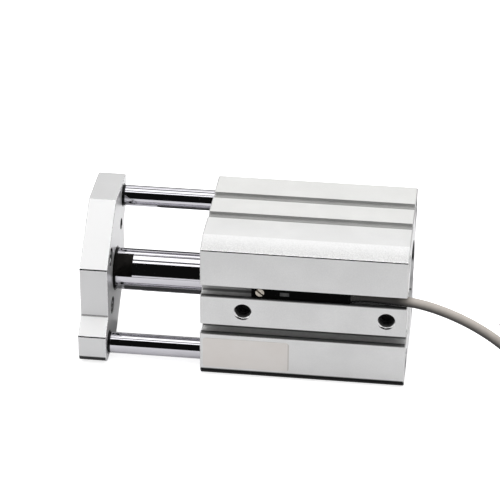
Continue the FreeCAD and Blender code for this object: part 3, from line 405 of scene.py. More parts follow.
def machined_plate():
    """Milled and clear anodised: smoother than the body, with long cutter arcs; painted highlights on its
    bevels and head-end faces, painted shade in its holes, rod seats, lug corners, underneath, on top and on
    the upper front.
    """
    f = Finish("anodised_plate")
    base = tuple(metals().plate_colour)
    x, y, z = f.axes()
    grain = f.noise(1.4 / metals().grain, 2.0, 0.6)
    cloud = f.noise(55.0, 2.0, 0.5)
    lines = f.noise(1500.0, 2.0, 0.5, f.stretched((1.0, 0.03, 0.03)))
    arcs = f.rings(520.0, (-0.042, -0.07, 0.09), 0.8)
    ends = f.facing((1, 0, 0))
    # Painted shade in the tooling holes, round the rod seats and in the lug corners.
    holes = near(y, z, [SMALL_HOLE], 2.1 * MM) + near(y, z, TAPPED_HOLES, 2.65 * MM)
    seats = near(y, z, GUIDE_AXES, 3.5 * MM) + near(y, z, [PISTON_AXIS], 6.5 * MM)
    seats = seats * x.between(-39.5 * MM, -38.8 * MM)
    corner_shade = near(y, z, LUG_CORNERS, 0.4 * MM) * 0.6
    opening_shade = holes * band(x, *PLATE_THICKNESS, 0.05) + seats * 0.94 + corner_shade
    # Painted highlight: the plate's bevels are made lighter.
    bevels = abs(f.towards((0, -0.61, 0.79))).between(0.93, 0.98)
    tone = f.mix(cloud.between(0.3, 0.7) * 0.6 + grain * 0.3, shaded(base, 0.95), shaded(base, 1.05))
    tone = f.mix(bevels, tone, shaded(base, 1.36))
    # Painted highlight on the face towards the head end.
    tone = f.mix(head_face_highlight(f), tone, shaded(base, 1.27))
    # Painted shade: the top faces a little darker, and the front faces darker towards the top.
    upper_front = f.facing((0, 1, 0)) * z.between(0.0, 30.0 * MM) * 0.06
    return f.set(
        Base_Color=f.dimmed(tone, opening_shade, underside(f) * 0.96, f.facing((0, 0, 1)) * 0.05, upper_front),
        Metallic=0.75,
        Roughness=0.34 + cloud * 0.07 + lines * 0.05,
        Normal=f.bump(arcs * ends * 0.7 + lines * (1 - ends) * 0.8 + grain * 0.35, 0.01 * MM, 0.5),
    )


def worn_edge():
    """Broken edge, where the anodising is thinnest."""
    f = Finish("edge_polish")
    chips = f.noise(1800.0, 3.0, 0.6)
    return f.set(
        Base_Color=f.mix(chips.between(0.42, 0.62), grey(0.66), (0.86, 0.86, 0.855)),
        Metallic=1.0,
        Roughness=0.12 + chips * 0.12,
        Normal=f.bump(chips, 0.006 * MM, 0.3),
    )


def hard_chrome():
    """Ground, hard chromed and polished: round the axis run very fine grinding lines."""
    f = Finish("chromed_rod")
    base = tuple(metals().chrome_colour)
    grinding = f.noise(5200.0, 2.0, 0.6, f.stretched((1.0, 0.01, 0.01)))
    smears = f.noise(130.0, 3.0, 0.6, f.stretched((0.35, 1.0, 1.0)))
    # Painted shade: the rods are near black and rougher where they meet the plate.
    plate_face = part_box("tooling_plate")[1].x
    root_shade = 1 - f.axes()[0].between(plate_face + 0.7 * MM, plate_face + 0.9 * MM)
    tone = f.mix(smears.between(0.35, 0.7), shaded(base, 0.93), base)
    return f.set(
        Base_Color=f.mix(root_shade, tone, (0.02, 0.02, 0.021)),
        Metallic=1.0,
        Roughness=metals().rod_roughness + grinding * 0.03 + smears.between(0.45, 0.75) * 0.02 + root_shade * 0.3,
        Normal=f.bump(grinding, 0.001 * MM, 0.05),
    )


def turned_cover():
    """Turned and clear anodised: concentric tool marks."""
    f = Finish("turned_cover")
    base = tuple(metals().cover_colour)
    marks = f.rings(900.0, (0, *PISTON_AXIS), 0.15)
    cloud = f.noise(160.0, 3.0, 0.5)
    return f.set(
        Base_Color=f.mix(cloud.between(0.35, 0.7), shaded(base, 0.88), shaded(base, 1.06)),
        Metallic=1.0,
        Roughness=0.3 + cloud * 0.14,
        Normal=f.bump(marks, 0.012 * MM, 0.6),
    )


def plain_metal(name, base, roughness, scale):
    """Screws, rings and bushes: mottled plating with fine scratches. The colour may be a setting's name."""
    f = Finish(name)
    if isinstance(base, str):
        base = tuple(getattr(metals(), base))
    mottle = f.noise(scale, 4.0, 0.6)
    scratches = f.noise(scale * 2, 2.0, 0.7, f.stretched((1.0, 0.08, 1.0), (0.3, 0.2, 0.5)))
    return f.set(
        Base_Color=f.mix(mottle.between(0.35, 0.68), shaded(base, 0.78), shaded(base, 1.1)),
        Metallic=1.0,
        Roughness=roughness + mottle * 0.16,
        Normal=f.bump(mottle * 0.5 + scratches * 0.5, 0.012 * MM, 0.6),
    )


def moulded(name, base, roughness, scale, coat=0.0, shine=0.5):
    """Moulded or extruded plastic and rubber: a fine eroded texture and faint dust."""
    f = Finish(name)
    texture = f.speckle(scale)
    dust = f.noise(scale * 0.06, 4.0, 0.6)
    f.set(Coat_Weight=coat, Coat_Roughness=0.15, Specular_IOR_Level=shine)
    return f.set(
        Base_Color=f.mix(dust.between(0.5, 0.8), base, tuple(c * 1.15 + 0.0006 for c in base)),
        Roughness=roughness + dust * 0.12 + texture * 0.06,
        Normal=f.bump(texture, 0.012 * MM, 0.45),
    )


def cable_jacket():
    """Extruded vinyl, slightly mottled, with handling marks; painted shade in the slot and on its underside.
    """
    f = Finish("cable_jacket")
    base = tuple(cable().jacket_colour)
    mottle = f.noise(450.0, 4.0, 0.6)
    marks = f.noise(90.0, 3.0, 0.55)
    fine = f.noise(5200.0, 2.0, 0.5)
    x, z = f.axes()[::2]
    # Painted shade inside the slot and on the side turned down.
    slot_shade = (1 - x.between(43.0 * MM, 49.0 * MM)) * z.between(20.0 * MM, 22.0 * MM)
    turned_down_shade = 1 - f.towards((0, 0, 1)).between(-0.3, 1.15)
    tone = mottle.between(0.3, 0.72) * 0.6 + marks.between(0.45, 0.75) * 0.4
    jacket = f.mix(tone, shaded(base, 1.05), shaded(base, 0.9))
    f.set(Specular_IOR_Level=0.4)
    return f.set(
        Base_Color=f.dimmed(jacket, slot_shade * 0.86, turned_down_shade * 0.94),
        Roughness=0.42 + marks * 0.12 + fine * 0.05,
        Normal=f.bump(mottle * 0.6 + fine * 0.4, 0.03 * MM, 0.4),
    )


def label_foil():
    """Bare pale foil with a soft sheen, a few tiny dimples and a darker line near its right end."""
    f = Finish("label_foil")
    cloud = f.noise(110.0, 3.0, 0.5)
    dimples = f.speckle(900.0)
    dark_end_line = f.axes()[0].between(13.45 * MM, 13.55 * MM)
    tone = f.mix(cloud.between(0.35, 0.7), (0.71, 0.675, 0.645), (0.735, 0.705, 0.68))
    return f.set(
        Base_Color=f.mix(dark_end_line, tone, (0.56, 0.53, 0.51)),
        Roughness=0.36 + cloud * 0.12,
        Normal=f.bump(dimples * 0.4 + cloud * 0.6, 0.02 * MM, 0.25),
    )


def window_resin():
    """Cloudy indicator window: a clear skin over grey resin, darker round the lamp behind it."""
    f = Finish("indicator_window")
    x, z = f.axes()[::2]
    low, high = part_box("switch_window")
    middle = (low + high) / 2
    across, up = (x - middle.x) / (0.7 * MM), (z - middle.z) / (0.5 * MM)
    lamp = (across ** 2.0 + up ** 2.0).between(0.3, 1.5)
    haze = f.noise(1500.0, 3.0, 0.6)
    f.set(Coat_Roughness=0.08)
    return f.set(
        Base_Color=f.mix(lamp * 0.75 + haze * 0.25, (0.03, 0.029, 0.028), grey(0.006)),
        Coat_Weight=0.2,
        Roughness=0.28 + haze * 0.2,
        Normal=f.bump(haze, 0.01 * MM, 0.3),
    )


OWN_FINISHES = {
    "anodised_body": anodised_body,
    "anodised_plate": machined_plate,
    "edge_polish": worn_edge,
    "chromed_rod": hard_chrome,
    "turned_cover": turned_cover,
    "indicator_window": window_resin,
    "cable_jacket": cable_jacket,
    "label_foil": label_foil,
}
# Colour, roughness and scale of the mottling
PLAIN_METALS = {
    # The milled flats are near black: painted shade for their dark look.
    "milled_flat": ((0.02, 0.0185, 0.0175), 0.4, 900.0),
    "spring_steel": ((0.2, 0.19, 0.185), 0.34, 900.0),
    "screw_steel": ((0.5, 0.5, 0.505), 0.24, 1200.0),
    "bearing_bronze": ("bronze_colour", 0.36, 2600.0),
    "clamp_screw": ("brass_colour", 0.2, 1500.0),
    "piston_alloy": ((0.66, 0.67, 0.68), 0.28, 700.0),
    "tinned_copper": ((0.68, 0.64, 0.6), 0.3, 3000.0),
}
# Colour, roughness and scale of the texture, then the coat and the shine where they differ
MOULDED = {
    "seal_rubber": (grey(0.022), 0.55, 3500.0),
    "bumper_urethane": ((0.45, 0.26, 0.09), 0.34, 2500.0),
    "magnet_ferrite": ((0.05, 0.05, 0.052), 0.6, 4000.0),
    "wear_resin": ((0.62, 0.57, 0.45), 0.4, 3000.0),
    "switch_plastic": (grey(0.0008), 0.5, 5200.0, 0.0, 0.03),
    "core_brown": ((0.15, 0.055, 0.02), 0.26, 2600.0, 0.25),
    "core_blue": ((0.02, 0.1, 0.42), 0.26, 2600.0, 0.25),
    "tie_band": ((0.8, 0.8, 0.77), 0.36, 2400.0, 0.1),
}
made_materials = {}


def material(finish):
    """The material of one of the finishes, made once."""
    if finish not in made_materials:
        if finish in OWN_FINISHES:
            made_materials[finish] = OWN_FINISHES[finish]()
        elif finish in PLAIN_METALS:
            made_materials[finish] = plain_metal(finish, *PLAIN_METALS[finish])
        else:
            made_materials[finish] = moulded(finish, *MOULDED[finish])
    return made_materials[finish]


# Ways of working


# Degrees between two faces: smooth shading below the first, edges are broken above the second
SMOOTH_BELOW = 35.0
BREAK_ABOVE = 28.0


def clear_selection():
    if bpy.context.mode != "OBJECT":
        bpy.ops.object.mode_set(mode="OBJECT")
    bpy.ops.object.select_all(action="DESELECT")


def add_object(name, data):
    """A new object in the scene, of a mesh, curve, lamp or camera."""
    thing = bpy.data.objects.new(name, data)
    bpy.context.scene.collection.objects.link(thing)
    return thing


def make_active(piece):
    clear_selection()
    piece.select_set(True)
    bpy.context.view_layer.objects.active = piece


def edit(piece, kind="VERT", action="DESELECT"):
    """Edit mode on one piece, with nothing or all of it selected; what comes next leaves it again."""
    make_active(piece)
    bpy.ops.object.mode_set(mode="EDIT")
    bpy.ops.mesh.select_mode(type=kind)
    bpy.ops.mesh.select_all(action=action)


def choose(piece, kind, test):
    """Edit mode on one piece, with the edges or faces selected that pass the test, by their place."""
    edit(piece, kind)
    bpy.ops.object.mode_set(mode="OBJECT")
    for item in piece.data.edges if kind == "EDGE" else piece.data.polygons:
        item.select = bool(test(item))
    bpy.ops.object.mode_set(mode="EDIT")


def apply_modifier(piece, kind, **settings):
    make_active(piece)
    modifier = piece.modifiers.new(kind.lower(), kind)
    for key, value in settings.items():
        setattr(modifier, key, value)
    bpy.ops.object.modifier_apply(modifier=modifier.name)


def settle(piece, name):
    """Name the piece, put its place into its mesh and shade it smooth up to an angle."""
    piece.name = name
    piece.data.name = name
    make_active(piece)
    bpy.ops.object.transform_apply(location=True, rotation=True, scale=True)
    bpy.ops.object.shade_smooth_by_angle(angle=math.radians(SMOOTH_BELOW))
    return piece


def dress(piece, slot, body, *nodes, finish=None):
    """Give the piece its material, the record's slot, its body and the CAD nodes that it stands for."""
    piece.data.materials.clear()
    piece.data.materials.append(material(finish or slot))
    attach(piece, body)
    if nodes:
        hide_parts(*nodes)
    return piece


def add_block(middle, size, turn=(0, 0, 0)):
    """A block to start a piece from."""
    clear_selection()
    bpy.ops.mesh.primitive_cube_add(size=1, location=middle, rotation=turn)
    block = bpy.context.object
    block.scale = size
    bpy.ops.object.transform_apply(location=True, rotation=True, scale=True)
    return block


def break_edges(piece, width, segments=2):
    apply_modifier(piece, "BEVEL", width=width, segments=segments, limit_method="ANGLE")


def run_of(piece, edge):
    """The way from one end of an edge to its other end."""
    first, second = [piece.data.vertices[i].co for i in edge.vertices]
    return second - first


def is_along(piece, edge, places):
    """Whether an edge runs along X at one of the (y, z) places, in millimetres."""
    run = run_of(piece, edge)
    end = piece.data.vertices[edge.vertices[0]].co / MM
    at_place = any(abs(end.y - y) < 0.03 and abs(end.z - z) < 0.03 for y, z in places)
    return at_place and abs(run.y) + abs(run.z) < 0.01 * MM


def finished_copy(node, name, radius, segments=2, rounded=(), rounding=0.0):
    """The CAD solid with its facets joined, its edges broken and its round faces smooth.

    The long edges at the (y, z) places in rounded, in millimetres, get a larger rounding. All the edges of
    such a piece are polished.
    """
    slot = NODE_SLOTS[node]
    piece = add_object(name, frame["nodes"][node].data.copy())
    edit(piece, action="SELECT")
    bpy.ops.mesh.remove_doubles(threshold=0.002 * MM)
    bpy.ops.mesh.dissolve_limited(angle_limit=math.radians(0.4))
    bpy.ops.object.mode_set(mode="OBJECT")
    if piece.data.has_custom_normals:
        bpy.ops.mesh.customdata_custom_splitnormals_clear()
    piece.data.materials.clear()
    piece.data.materials.append(material(slot))
    if rounded:
        piece.data.materials.append(material("edge_polish"))
        choose(piece, "EDGE", lambda line: is_along(piece, line, rounded))
        bpy.ops.mesh.bevel(offset=rounding, segments=4, material=1)
    apply_modifier(
        piece, "BEVEL", width=radius, segments=segments, limit_method="ANGLE",
        angle_limit=math.radians(BREAK_ABOVE), use_clamp_overlap=True, material=1 if rounded else -1,
        miter_outer="MITER_ARC")
    settle(piece, name)
    apply_modifier(piece, "WEIGHTED_NORMAL", keep_sharp=True, weight=100)
    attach(piece, NODE_BODIES[node])
    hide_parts(node)
    return piece


def trace(name, spots):
    """A line of edges, drawn by extruding one vertex from spot to spot."""
    clear_selection()
    bpy.ops.mesh.primitive_plane_add(size=MM, location=(0, 0, 0))
    piece = bpy.context.object
    edit(piece, action="SELECT")
    bpy.ops.mesh.merge(type="CENTER")
    bpy.ops.transform.translate(value=spots[0])
    for start, end in zip(spots, spots[1:]):
        step = Vector(end) - Vector(start)
        bpy.ops.mesh.extrude_region_move(TRANSFORM_OT_translate={"value": step})
    clear_selection()
    piece.name = name
    return piece


def lathe(name, profile, centre, steps):
    """A turned piece: (along X, radius) pairs spun about a line along X through the centre."""
    piece = trace(name, [(x, 0.0, radius) for x, radius in profile])
    edit(piece, action="SELECT")
    bpy.ops.mesh.spin(steps=steps, angle=math.tau, center=(0, 0, 0), axis=(1, 0, 0), use_auto_merge=True)
    bpy.ops.mesh.select_all(action="SELECT")
    bpy.ops.mesh.remove_doubles(threshold=0.001 * MM)
    bpy.ops.mesh.normals_make_consistent(inside=False)
    piece.location = centre
    return settle(piece, name)


# Signal cable: places and sizes in millimetres, turns and climbs in whole turns


CABLE_ROUTE = [
    (34.05, -17.2, 27.2), (41.5, -17.5, 27.2), (50.5, -18.6, 26.9), (59.5, -19.7, 24.5), (67.5, -20.7, 20.9),
    (74.5, -21.6, 16.2), (81.0, -22.4, 10.5), (87.0, -22.9, 5.9), (92.8, -23.0, 2.9),
]
BROWN_CORE = [(94.5, 13.4, 4.7), (88.5, 12.0, 3.9), (82.5, 10.6, 1.5), (76.5, 9.4, 0.62)]
BLUE_CORE = [(94.5, 14.6, 4.7), (88.5, 14.0, 3.7), (82.5, 14.2, 1.4), (76.5, 15.6, 0.62)]
COIL_CENTRE = (97.5, -4.4)
COIL_OUTER = 18.5
COIL_INNER = 12.3
COIL_SLOPE = 0.25
POINTS_A_TURN = 16
LOWER_START = -0.25
LOWER_TURNS = 2.25
UPPER_TURNS = 2.28
LOWER_CLIMB = 0.14
UPPER_CLIMB = 0.16
TIE_HEAD = (5.2, 4.6, 2.8)
TIE_TAIL = (3.6, 9.0, 0.8)


def coil_turns():
    """The coil's turns: inwards on the surface, up, and outwards on top of themselves."""
    lower = round(LOWER_TURNS * POINTS_A_TURN)
    upper = round(UPPER_TURNS * POINTS_A_TURN)
    spots = []
    for done in [step / lower for step in range(lower)]:
        rise = 0.5 * max(0.0, 1 - (1 - done) * LOWER_TURNS / LOWER_CLIMB)
        spots.append(coil_spot(LOWER_START + LOWER_TURNS * done, done, rise))
    for done in [step / upper for step in range(upper + 1)]:
        rise = min(1.0, 0.5 + done * UPPER_TURNS / UPPER_CLIMB)
        spots.append(coil_spot(UPPER_TURNS * done, 1 - done, rise))
    return spots


def coil_spot(turns, inwards, rise):
    """A point of the coil: turns round it, share of the way inwards, and diameters up."""
    diameter = cable().diameter / MM
    across, back = math.cos(math.tau * turns), math.sin(math.tau * turns)
    radius = COIL_OUTER + (COIL_INNER - COIL_OUTER) * inwards
    level = diameter / 2 + COIL_SLOPE * (1 + back) + diameter * rise
    return (COIL_CENTRE[0] + radius * across, COIL_CENTRE[1] + radius * back, level)


def spline(name, spots, diameter):
    """A smooth round cord through given control points, in millimetres."""
    curve = bpy.data.curves.new(name, "CURVE")
    curve.dimensions = "3D"
    curve.bevel_depth = diameter / 2
    curve.bevel_resolution = 6
    curve.resolution_u = 6
    curve.use_fill_caps = True
    line = curve.splines.new("NURBS")
    line.points.add(len(spots) - 1)
    for point, spot in zip(line.points, spots):
        point.co = (*[number * MM for number in spot], 1.0)
    line.order_u = 3
    line.use_endpoint_u = True
    return add_object(name, curve)


class CYLINDER_OT_signal_cable(bpy.types.Operator):
    """Lay the cable from the switch to its tied coil, with its bare leads"""

    bl_idname = "cylinder.signal_cable"
    bl_label = "Signal cable"

    def execute(self, context):
        settings = cable()
        lead = spline("cable_line", CABLE_ROUTE + coil_turns(), settings.diameter)
        dress(lead, "cable_jacket", "cylinder", "signal_cable", "cable_coil")
        pieces = [self.make_tie()]
        for shade, route in (("brown", BROWN_CORE), ("blue", BLUE_CORE)):
            core = spline("lead_" + shade, route, settings.core_diameter)
            pieces.append(dress(core, "core_" + shade, "cylinder", "core_" + shade))
            pieces.append(self.make_tip("lead_%s_tip" % shade, route))
        return {"FINISHED"}

    def make_tie(self):
        """A flat nylon band with its ratchet head and tail."""
        low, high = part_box("cable_tie")
        middle, size = (low + high) / 2, high - low
        strap = add_block(middle, size)
        choose(strap, "FACE", lambda face: abs(face.normal.x) > 0.9)
        bpy.ops.mesh.delete(type="FACE")
        choose(strap, "EDGE", lambda edge: abs(run_of(strap, edge).x) > size.x * 0.9)
        bpy.ops.mesh.bevel(offset=1.6 * MM, segments=6)
        apply_modifier(strap, "SOLIDIFY", thickness=0.45 * MM, offset=-1.0)
        break_edges(strap, 0.12 * MM)
        head_middle = Vector((middle.x, high.y - 2.8 * MM, high.z + 1.2 * MM))
        head = add_block(head_middle, Vector(TIE_HEAD) * MM)
        choose(head, "FACE", lambda face: abs(face.normal.y) > 0.9)
        bpy.ops.mesh.inset(thickness=0.8 * MM)
        bpy.ops.mesh.extrude_region_shrink_fatten(TRANSFORM_OT_shrink_fatten={"value": -0.7 * MM})
        break_edges(head, 0.3 * MM, 3)
        tail = add_block(head_middle + Vector((0, -6.2, 0.1)) * MM, Vector(TIE_TAIL) * MM)
        break_edges(tail, 0.15 * MM)
        make_active(strap)
        head.select_set(True)
        tail.select_set(True)
        bpy.ops.object.join()
        settle(strap, "tie_strap")
        return dress(strap, "tie_band", "cylinder", "cable_tie")

    def make_tip(self, name, route):
        """The tinned end of one lead, level on the surface."""
        end, before = [Vector(spot) * MM for spot in (route[-1], route[-2])]
        along = end - before
        along.z = 0
        along.normalize()
        depth = 5.0 * MM
        clear_selection()
        bpy.ops.mesh.primitive_cylinder_add(vertices=20, radius=0.34 * MM, depth=depth)
        tip = bpy.context.object
        choose(tip, "EDGE", lambda edge: abs(
            sum(tip.data.vertices[i].co.z for i in edge.vertices)) > depth * 0.98)
        bpy.ops.mesh.bevel(offset=0.12 * MM, segments=2)
        tip.rotation_euler = along.to_track_quat("Z", "Y").to_euler()
        tip.location = end + along * 2.2 * MM + Vector((0, 0, -0.1)) * MM
        settle(tip, name)
        return dress(tip, "screw_steel", "cylinder", finish="tinned_copper")


# Machined parts, in millimetres, their corners as (y, z)


BODY_ROUNDED = ((-19.5, 39.95), (19.5, 2.05))
PLATE_ROUNDED = ((-14.0, 28.0), (14.0, 14.0), (-19.3, 9.1), (19.3, 32.9))
# Node, name of the finished piece and width of its broken edges
COPIED_PARTS = (
    ("rod_cover", "rod_end_cover", 0.1),
    ("head_cover", "head_end_cover", 0.1),
    ("rod_cover_ring", "retaining_ring", 0.08),
    ("piston_rod_screw", "rod_socket_screw", 0.1),
    ("guide_rod_screws", "guide_socket_screws", 0.08),
    ("piston", "piston_turned", 0.1),
)


class CYLINDER_OT_extruded_body(bpy.types.Operator):
    """Finish the extruded, anodised body with its broken edges"""

    bl_idname = "cylinder.extruded_body"
    bl_label = "Extruded body"

    def execute(self, context):
        body = finished_copy(
            "cylinder_body", "body_extrusion", metals().edge_radius, rounded=BODY_ROUNDED, rounding=0.32 * MM)
        choose(body, "FACE", self.is_countersink)
        body.active_material_index = 1
        bpy.ops.object.material_slot_assign()
        clear_selection()
        return {"FINISHED"}

    def is_countersink(self, face):
        """Whether a face belongs to the bright countersink of an air port."""
        middle = face.center
        from_port = min(math.hypot(middle.x - x, middle.z - z) for x, z in PORTS)
        return from_port < 3.4 * MM and middle.y < -19.02 * MM and abs(face.normal.y) < 0.95


class CYLINDER_OT_tooling_plate(bpy.types.Operator):
    """Finish the milled tooling plate"""

    bl_idname = "cylinder.tooling_plate"
    bl_label = "Tooling plate"

    def execute(self, context):
        finished_copy(
            "tooling_plate", "plate_milled", metals().edge_radius, rounded=PLATE_ROUNDED, rounding=0.3 * MM)
        return {"FINISHED"}


class CYLINDER_OT_chromed_rods(bpy.types.Operator):
    """Turn the chromed piston rod with its spanner flats, and both guide rods"""

    bl_idname = "cylinder.chromed_rods"
    bl_label = "Chromed rods"

    def execute(self, context):
        self.turn_rod("guide_rod_upper", "guide_rod_back")
        self.turn_rod("guide_rod_lower", "guide_rod_front")
        self.cut_flats(self.turn_rod("piston_rod", "piston_rod_ground"))
        return {"FINISHED"}

    def turn_rod(self, node, name):
        """A rod with chamfered ends; the piston rod has a neck for the piston at its far end."""
        low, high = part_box(node)
        radius = (high.z - low.z) / 2
        span = high.x - low.x
        chamfer = 0.4 * MM
        profile = [
            (0.0, 0.0), (0.0, radius - chamfer), (chamfer * 0.2, radius - chamfer * 0.7),
            (chamfer, radius), (span - chamfer, radius), (span - chamfer * 0.2, radius - chamfer * 0.7),
            (span, radius - chamfer), (span, 0.0)]
        if node == "piston_rod":
            neck_start, neck_radius = span - 12.0 * MM, 4.0 * MM
            profile[4:] = [(neck_start, radius), (neck_start, neck_radius), (span, neck_radius), (span, 0.0)]
        return dress(lathe(name, profile, low_end(node), 160), "chromed_rod", "carriage", node)

    def cut_flats(self, rod):
        """Two spanner flats beside the plate, along the line through the guide rods, as in CAD."""
        low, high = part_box("piston_rod")
        depth = 1.0 * MM
        cutter_size = Vector((6.2, 20.0, 10.0)) * MM
        reach = (high.z - low.z) / 2 - depth + cutter_size.z / 2
        towards_guide = GUIDE_AXES[0] - PISTON_AXIS
        turn = math.atan2(towards_guide.y, towards_guide.x)
        across = Vector((0, -math.sin(turn), math.cos(turn)))
        middle = low_end("piston_rod") + Vector((3.0 * MM, 0, 0))
        for side in (1, -1):
            cutter = add_block(middle + across * reach * side, cutter_size, (turn, 0, 0))
            cutter.data.materials.append(material("milled_flat"))
            apply_modifier(rod, "BOOLEAN", object=cutter, operation="DIFFERENCE", solver="EXACT",
                           material_mode="TRANSFER")
            bpy.data.objects.remove(cutter)
        settle(rod, rod.name)


class CYLINDER_OT_covers(bpy.types.Operator):
    """Finish the covers, the retaining ring, the screws and the bushes"""

    bl_idname = "cylinder.covers"
    bl_label = "Covers, ring and screws"

    def execute(self, context):
        for node, name, width in COPIED_PARTS:
            finished_copy(node, name, width * MM)
        for level in ("upper", "lower"):
            for end in ("front", "rear"):
                node = "guide_bush_%s_%s" % (level, end)
                finished_copy(node, node + "_sintered", 0.1 * MM)
        return {"FINISHED"}


# Core radius and pitch, in millimetres

M4_THREAD = (1.65, 0.7)
M5_THREAD = (2.1, 0.8)
M6_THREAD = (2.5, 1.0)
PORT_THREAD_START = -19.1


class CYLINDER_OT_threads(bpy.types.Operator):
    """Cut the threads of the air ports, the tooling holes and the body holes"""

    bl_idname = "cylinder.threads"
    bl_label = "Threads"

    def execute(self, context):
        along_x = Matrix.Rotation(math.pi / 2, 4, "Y")
        along_y = Matrix.Rotation(-math.pi / 2, 4, "X")
        ports = [(x, PORT_THREAD_START * MM, z) for x, z in PORTS]
        names = ("port_thread_rod_end", "port_thread_head_end")
        self.make_threads(names, ports, along_y, M5_THREAD, 4.0, "cylinder_body")
        start = low_end("tooling_plate").x + 0.45 * MM
        holes = [(start, *hole) for hole in TAPPED_HOLES]
        names = ("plate_thread_0", "plate_thread_1", "plate_thread_2")
        self.make_threads(names, holes, along_x, M5_THREAD, 7.1, "tooling_plate")
        small = [(start, *SMALL_HOLE)]
        self.make_threads(("plate_thread_small",), small, along_x, M4_THREAD, 7.1, "tooling_plate")
        low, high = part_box("cylinder_body")
        corners = [(x, -y, z) for x in (low.x + 0.3 * MM, high.x - 12.3 * MM) for y, z in GUIDE_AXES]
        names = ["corner_thread_%d" % index for index in range(len(corners))]
        self.make_threads(names, corners, along_x, M6_THREAD, 12.0, "cylinder_body")
        return {"FINISHED"}

    def make_threads(self, names, places, turn, size, depth, node):
        """One thread on a node, and a copy with its own mesh for each further place."""
        first = self.make_thread(names[0], size, depth)
        first.matrix_world = Matrix.Translation(places[0]) @ turn
        pieces = [settle(first, names[0])]
        for name, place in zip(names[1:], places[1:]):
            copy = add_object(name, first.data.copy())
            copy.location = Vector(place) - Vector(places[0])
            pieces.append(settle(copy, name))
        for piece in pieces:
            dress(piece, NODE_SLOTS[node], NODE_BODIES[node])

    def make_thread(self, name, size, depth):
        """The thread's ridge as a helix that narrows to its crest, closed at both ends."""
        core, pitch = size
        wall, crest = (core - 0.005) * MM, (core - pitch * 0.32) * MM
        step = pitch * MM
        thread = trace(name, [(wall, 0, 0), (crest, 0, step * 0.42), (crest, 0, step * 0.5),
                              (wall, 0, step * 0.92), (wall, 0, 0)])
        edit(thread, action="SELECT")
        bpy.ops.mesh.remove_doubles(threshold=0.001 * MM)
        turns = int(depth / pitch) - 1
        apply_modifier(thread, "SCREW", angle=math.tau, screw_offset=step, iterations=turns, steps=36,
                       render_steps=36, axis="Z", use_merge_vertices=False)
        edit(thread, "EDGE")
        bpy.ops.mesh.select_non_manifold(extend=False)
        bpy.ops.mesh.fill()
        bpy.ops.mesh.select_all(action="SELECT")
        bpy.ops.mesh.normals_make_consistent(inside=False)
        return thread


# Position switch and label


class CYLINDER_OT_position_switch(bpy.types.Operator):
    """Finish the switch, its clamping screw, its window and the cable's sleeve"""

    bl_idname = "cylinder.position_switch"
    bl_label = "Position switch"

    def execute(self, context):
        finished_copy("switch_housing", "switch_case", 0.18 * MM, segments=3)
        finished_copy("switch_screw", "switch_clamp_screw", 0.09 * MM)
        finished_copy("switch_window", "switch_lens", 0.08 * MM)
        self.make_sleeve()
        return {"FINISHED"}

    def make_sleeve(self):
        """The tapered sleeve round the cable where it leaves the switch, with three shallow rings."""
        low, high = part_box("cable_sleeve")
        span = high.x - low.x
        wide, slim = (high.z - low.z) / 2, 1.43 * MM
        profile = [(0.0, 0.0), (0.0, wide)]
        for ring in range(3):
            start = span * (0.12 + 0.27 * ring)
            outer = wide + (slim - wide) * start / span
            floor = outer - 0.12 * MM
            profile += [(start, outer), (start + span * 0.03, floor), (start + span * 0.1, floor),
                        (start + span * 0.13, outer - 0.04 * MM)]
        profile += [(span, slim + 0.03 * MM), (span, 0.0)]
        sleeve = lathe("sleeve_boot", profile, low_end("cable_sleeve"), 48)
        break_edges(sleeve, 0.04 * MM)
        return dress(sleeve, "cable_jacket", "cylinder", "cable_sleeve")


class CYLINDER_OT_bare_label(bpy.types.Operator):
    """Finish the bare foil label on the lower front flat, and lay the foil's border under its ends"""

    bl_idname = "cylinder.bare_label"
    bl_label = "Bare label"

    def execute(self, context):
        finished_copy("label_plate", "label_foil_bare", 0.02 * MM, segments=1)
        self.make_border()
        return {"FINISHED"}

    def make_border(self):
        """The thin border of the foil, which shows past both ends of the label."""
        low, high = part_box("label_plate")
        thickness = 0.06 * MM
        low = Vector((low.x - 0.8 * MM, high.y - thickness, low.z - 0.04 * MM))
        high = Vector((high.x + 0.9 * MM, high.y, high.z + 0.04 * MM))
        border = add_block((low + high) / 2, high - low)
        choose(border, "EDGE", lambda edge: abs(run_of(border, edge).y) > thickness / 2)
        bpy.ops.mesh.bevel(offset=0.9 * MM, segments=5)
        settle(border, "label_border")
        return dress(border, NODE_SLOTS["label_plate"], "cylinder", finish="label_foil")


class CYLINDER_OT_inner_parts(bpy.types.Operator):
    """Give the seals, cushions and other inner parts their materials"""

    bl_idname = "cylinder.inner_parts"
    bl_label = "Inner parts"

    def execute(self, context):
        for node, thing in frame["nodes"].items():
            if not thing.hide_render:
                thing.data.materials.clear()
                thing.data.materials.append(material(NODE_SLOTS[node]))
        return {"FINISHED"}


# Studio, in metres


LAMP_PLACE = (0.05, 0.24, 0.95)
LAMP_SIZE = (1.6, 1.32)
FLAT = (0, 0, 0)
UPRIGHT = (math.pi / 2, 0, 0)
# Dark cards that the metal reflects: name, place, size, turn and grey level
CARDS = (
    ("dark_card", (0.0, -1.1, 1.2), (3.6, 2.4), UPRIGHT, 0.006),
    ("dark_strip", (0.0, -0.67, 0.001), (3.2, 0.86), FLAT, 0.006),
    ("horizon_card", (0.0, 1.4, 0.2), (4.0, 0.5), UPRIGHT, 0.02),
    ("back_strip", (0.0, 0.82, 0.001), (3.2, 1.16), FLAT, 0.02),
    # The two cards under the rods stand in for the shade under them: a painted shadow that the rods reflect.
    ("under_piston_rod", (-0.025, -0.003, 0.0003), (0.0262, 0.016), FLAT, 0.05),
    ("under_guide_rod", (-0.0225, 0.0215, 0.0003), (0.0215, 0.031), FLAT, 0.05),
    ("lamp_seam", (0.05, -0.15, 0.93), (1.8, 0.15), FLAT, 0.1),
    ("lamp_gap", (0.05, 0.47, 0.93), (1.8, 0.3), FLAT, 0.2),
)


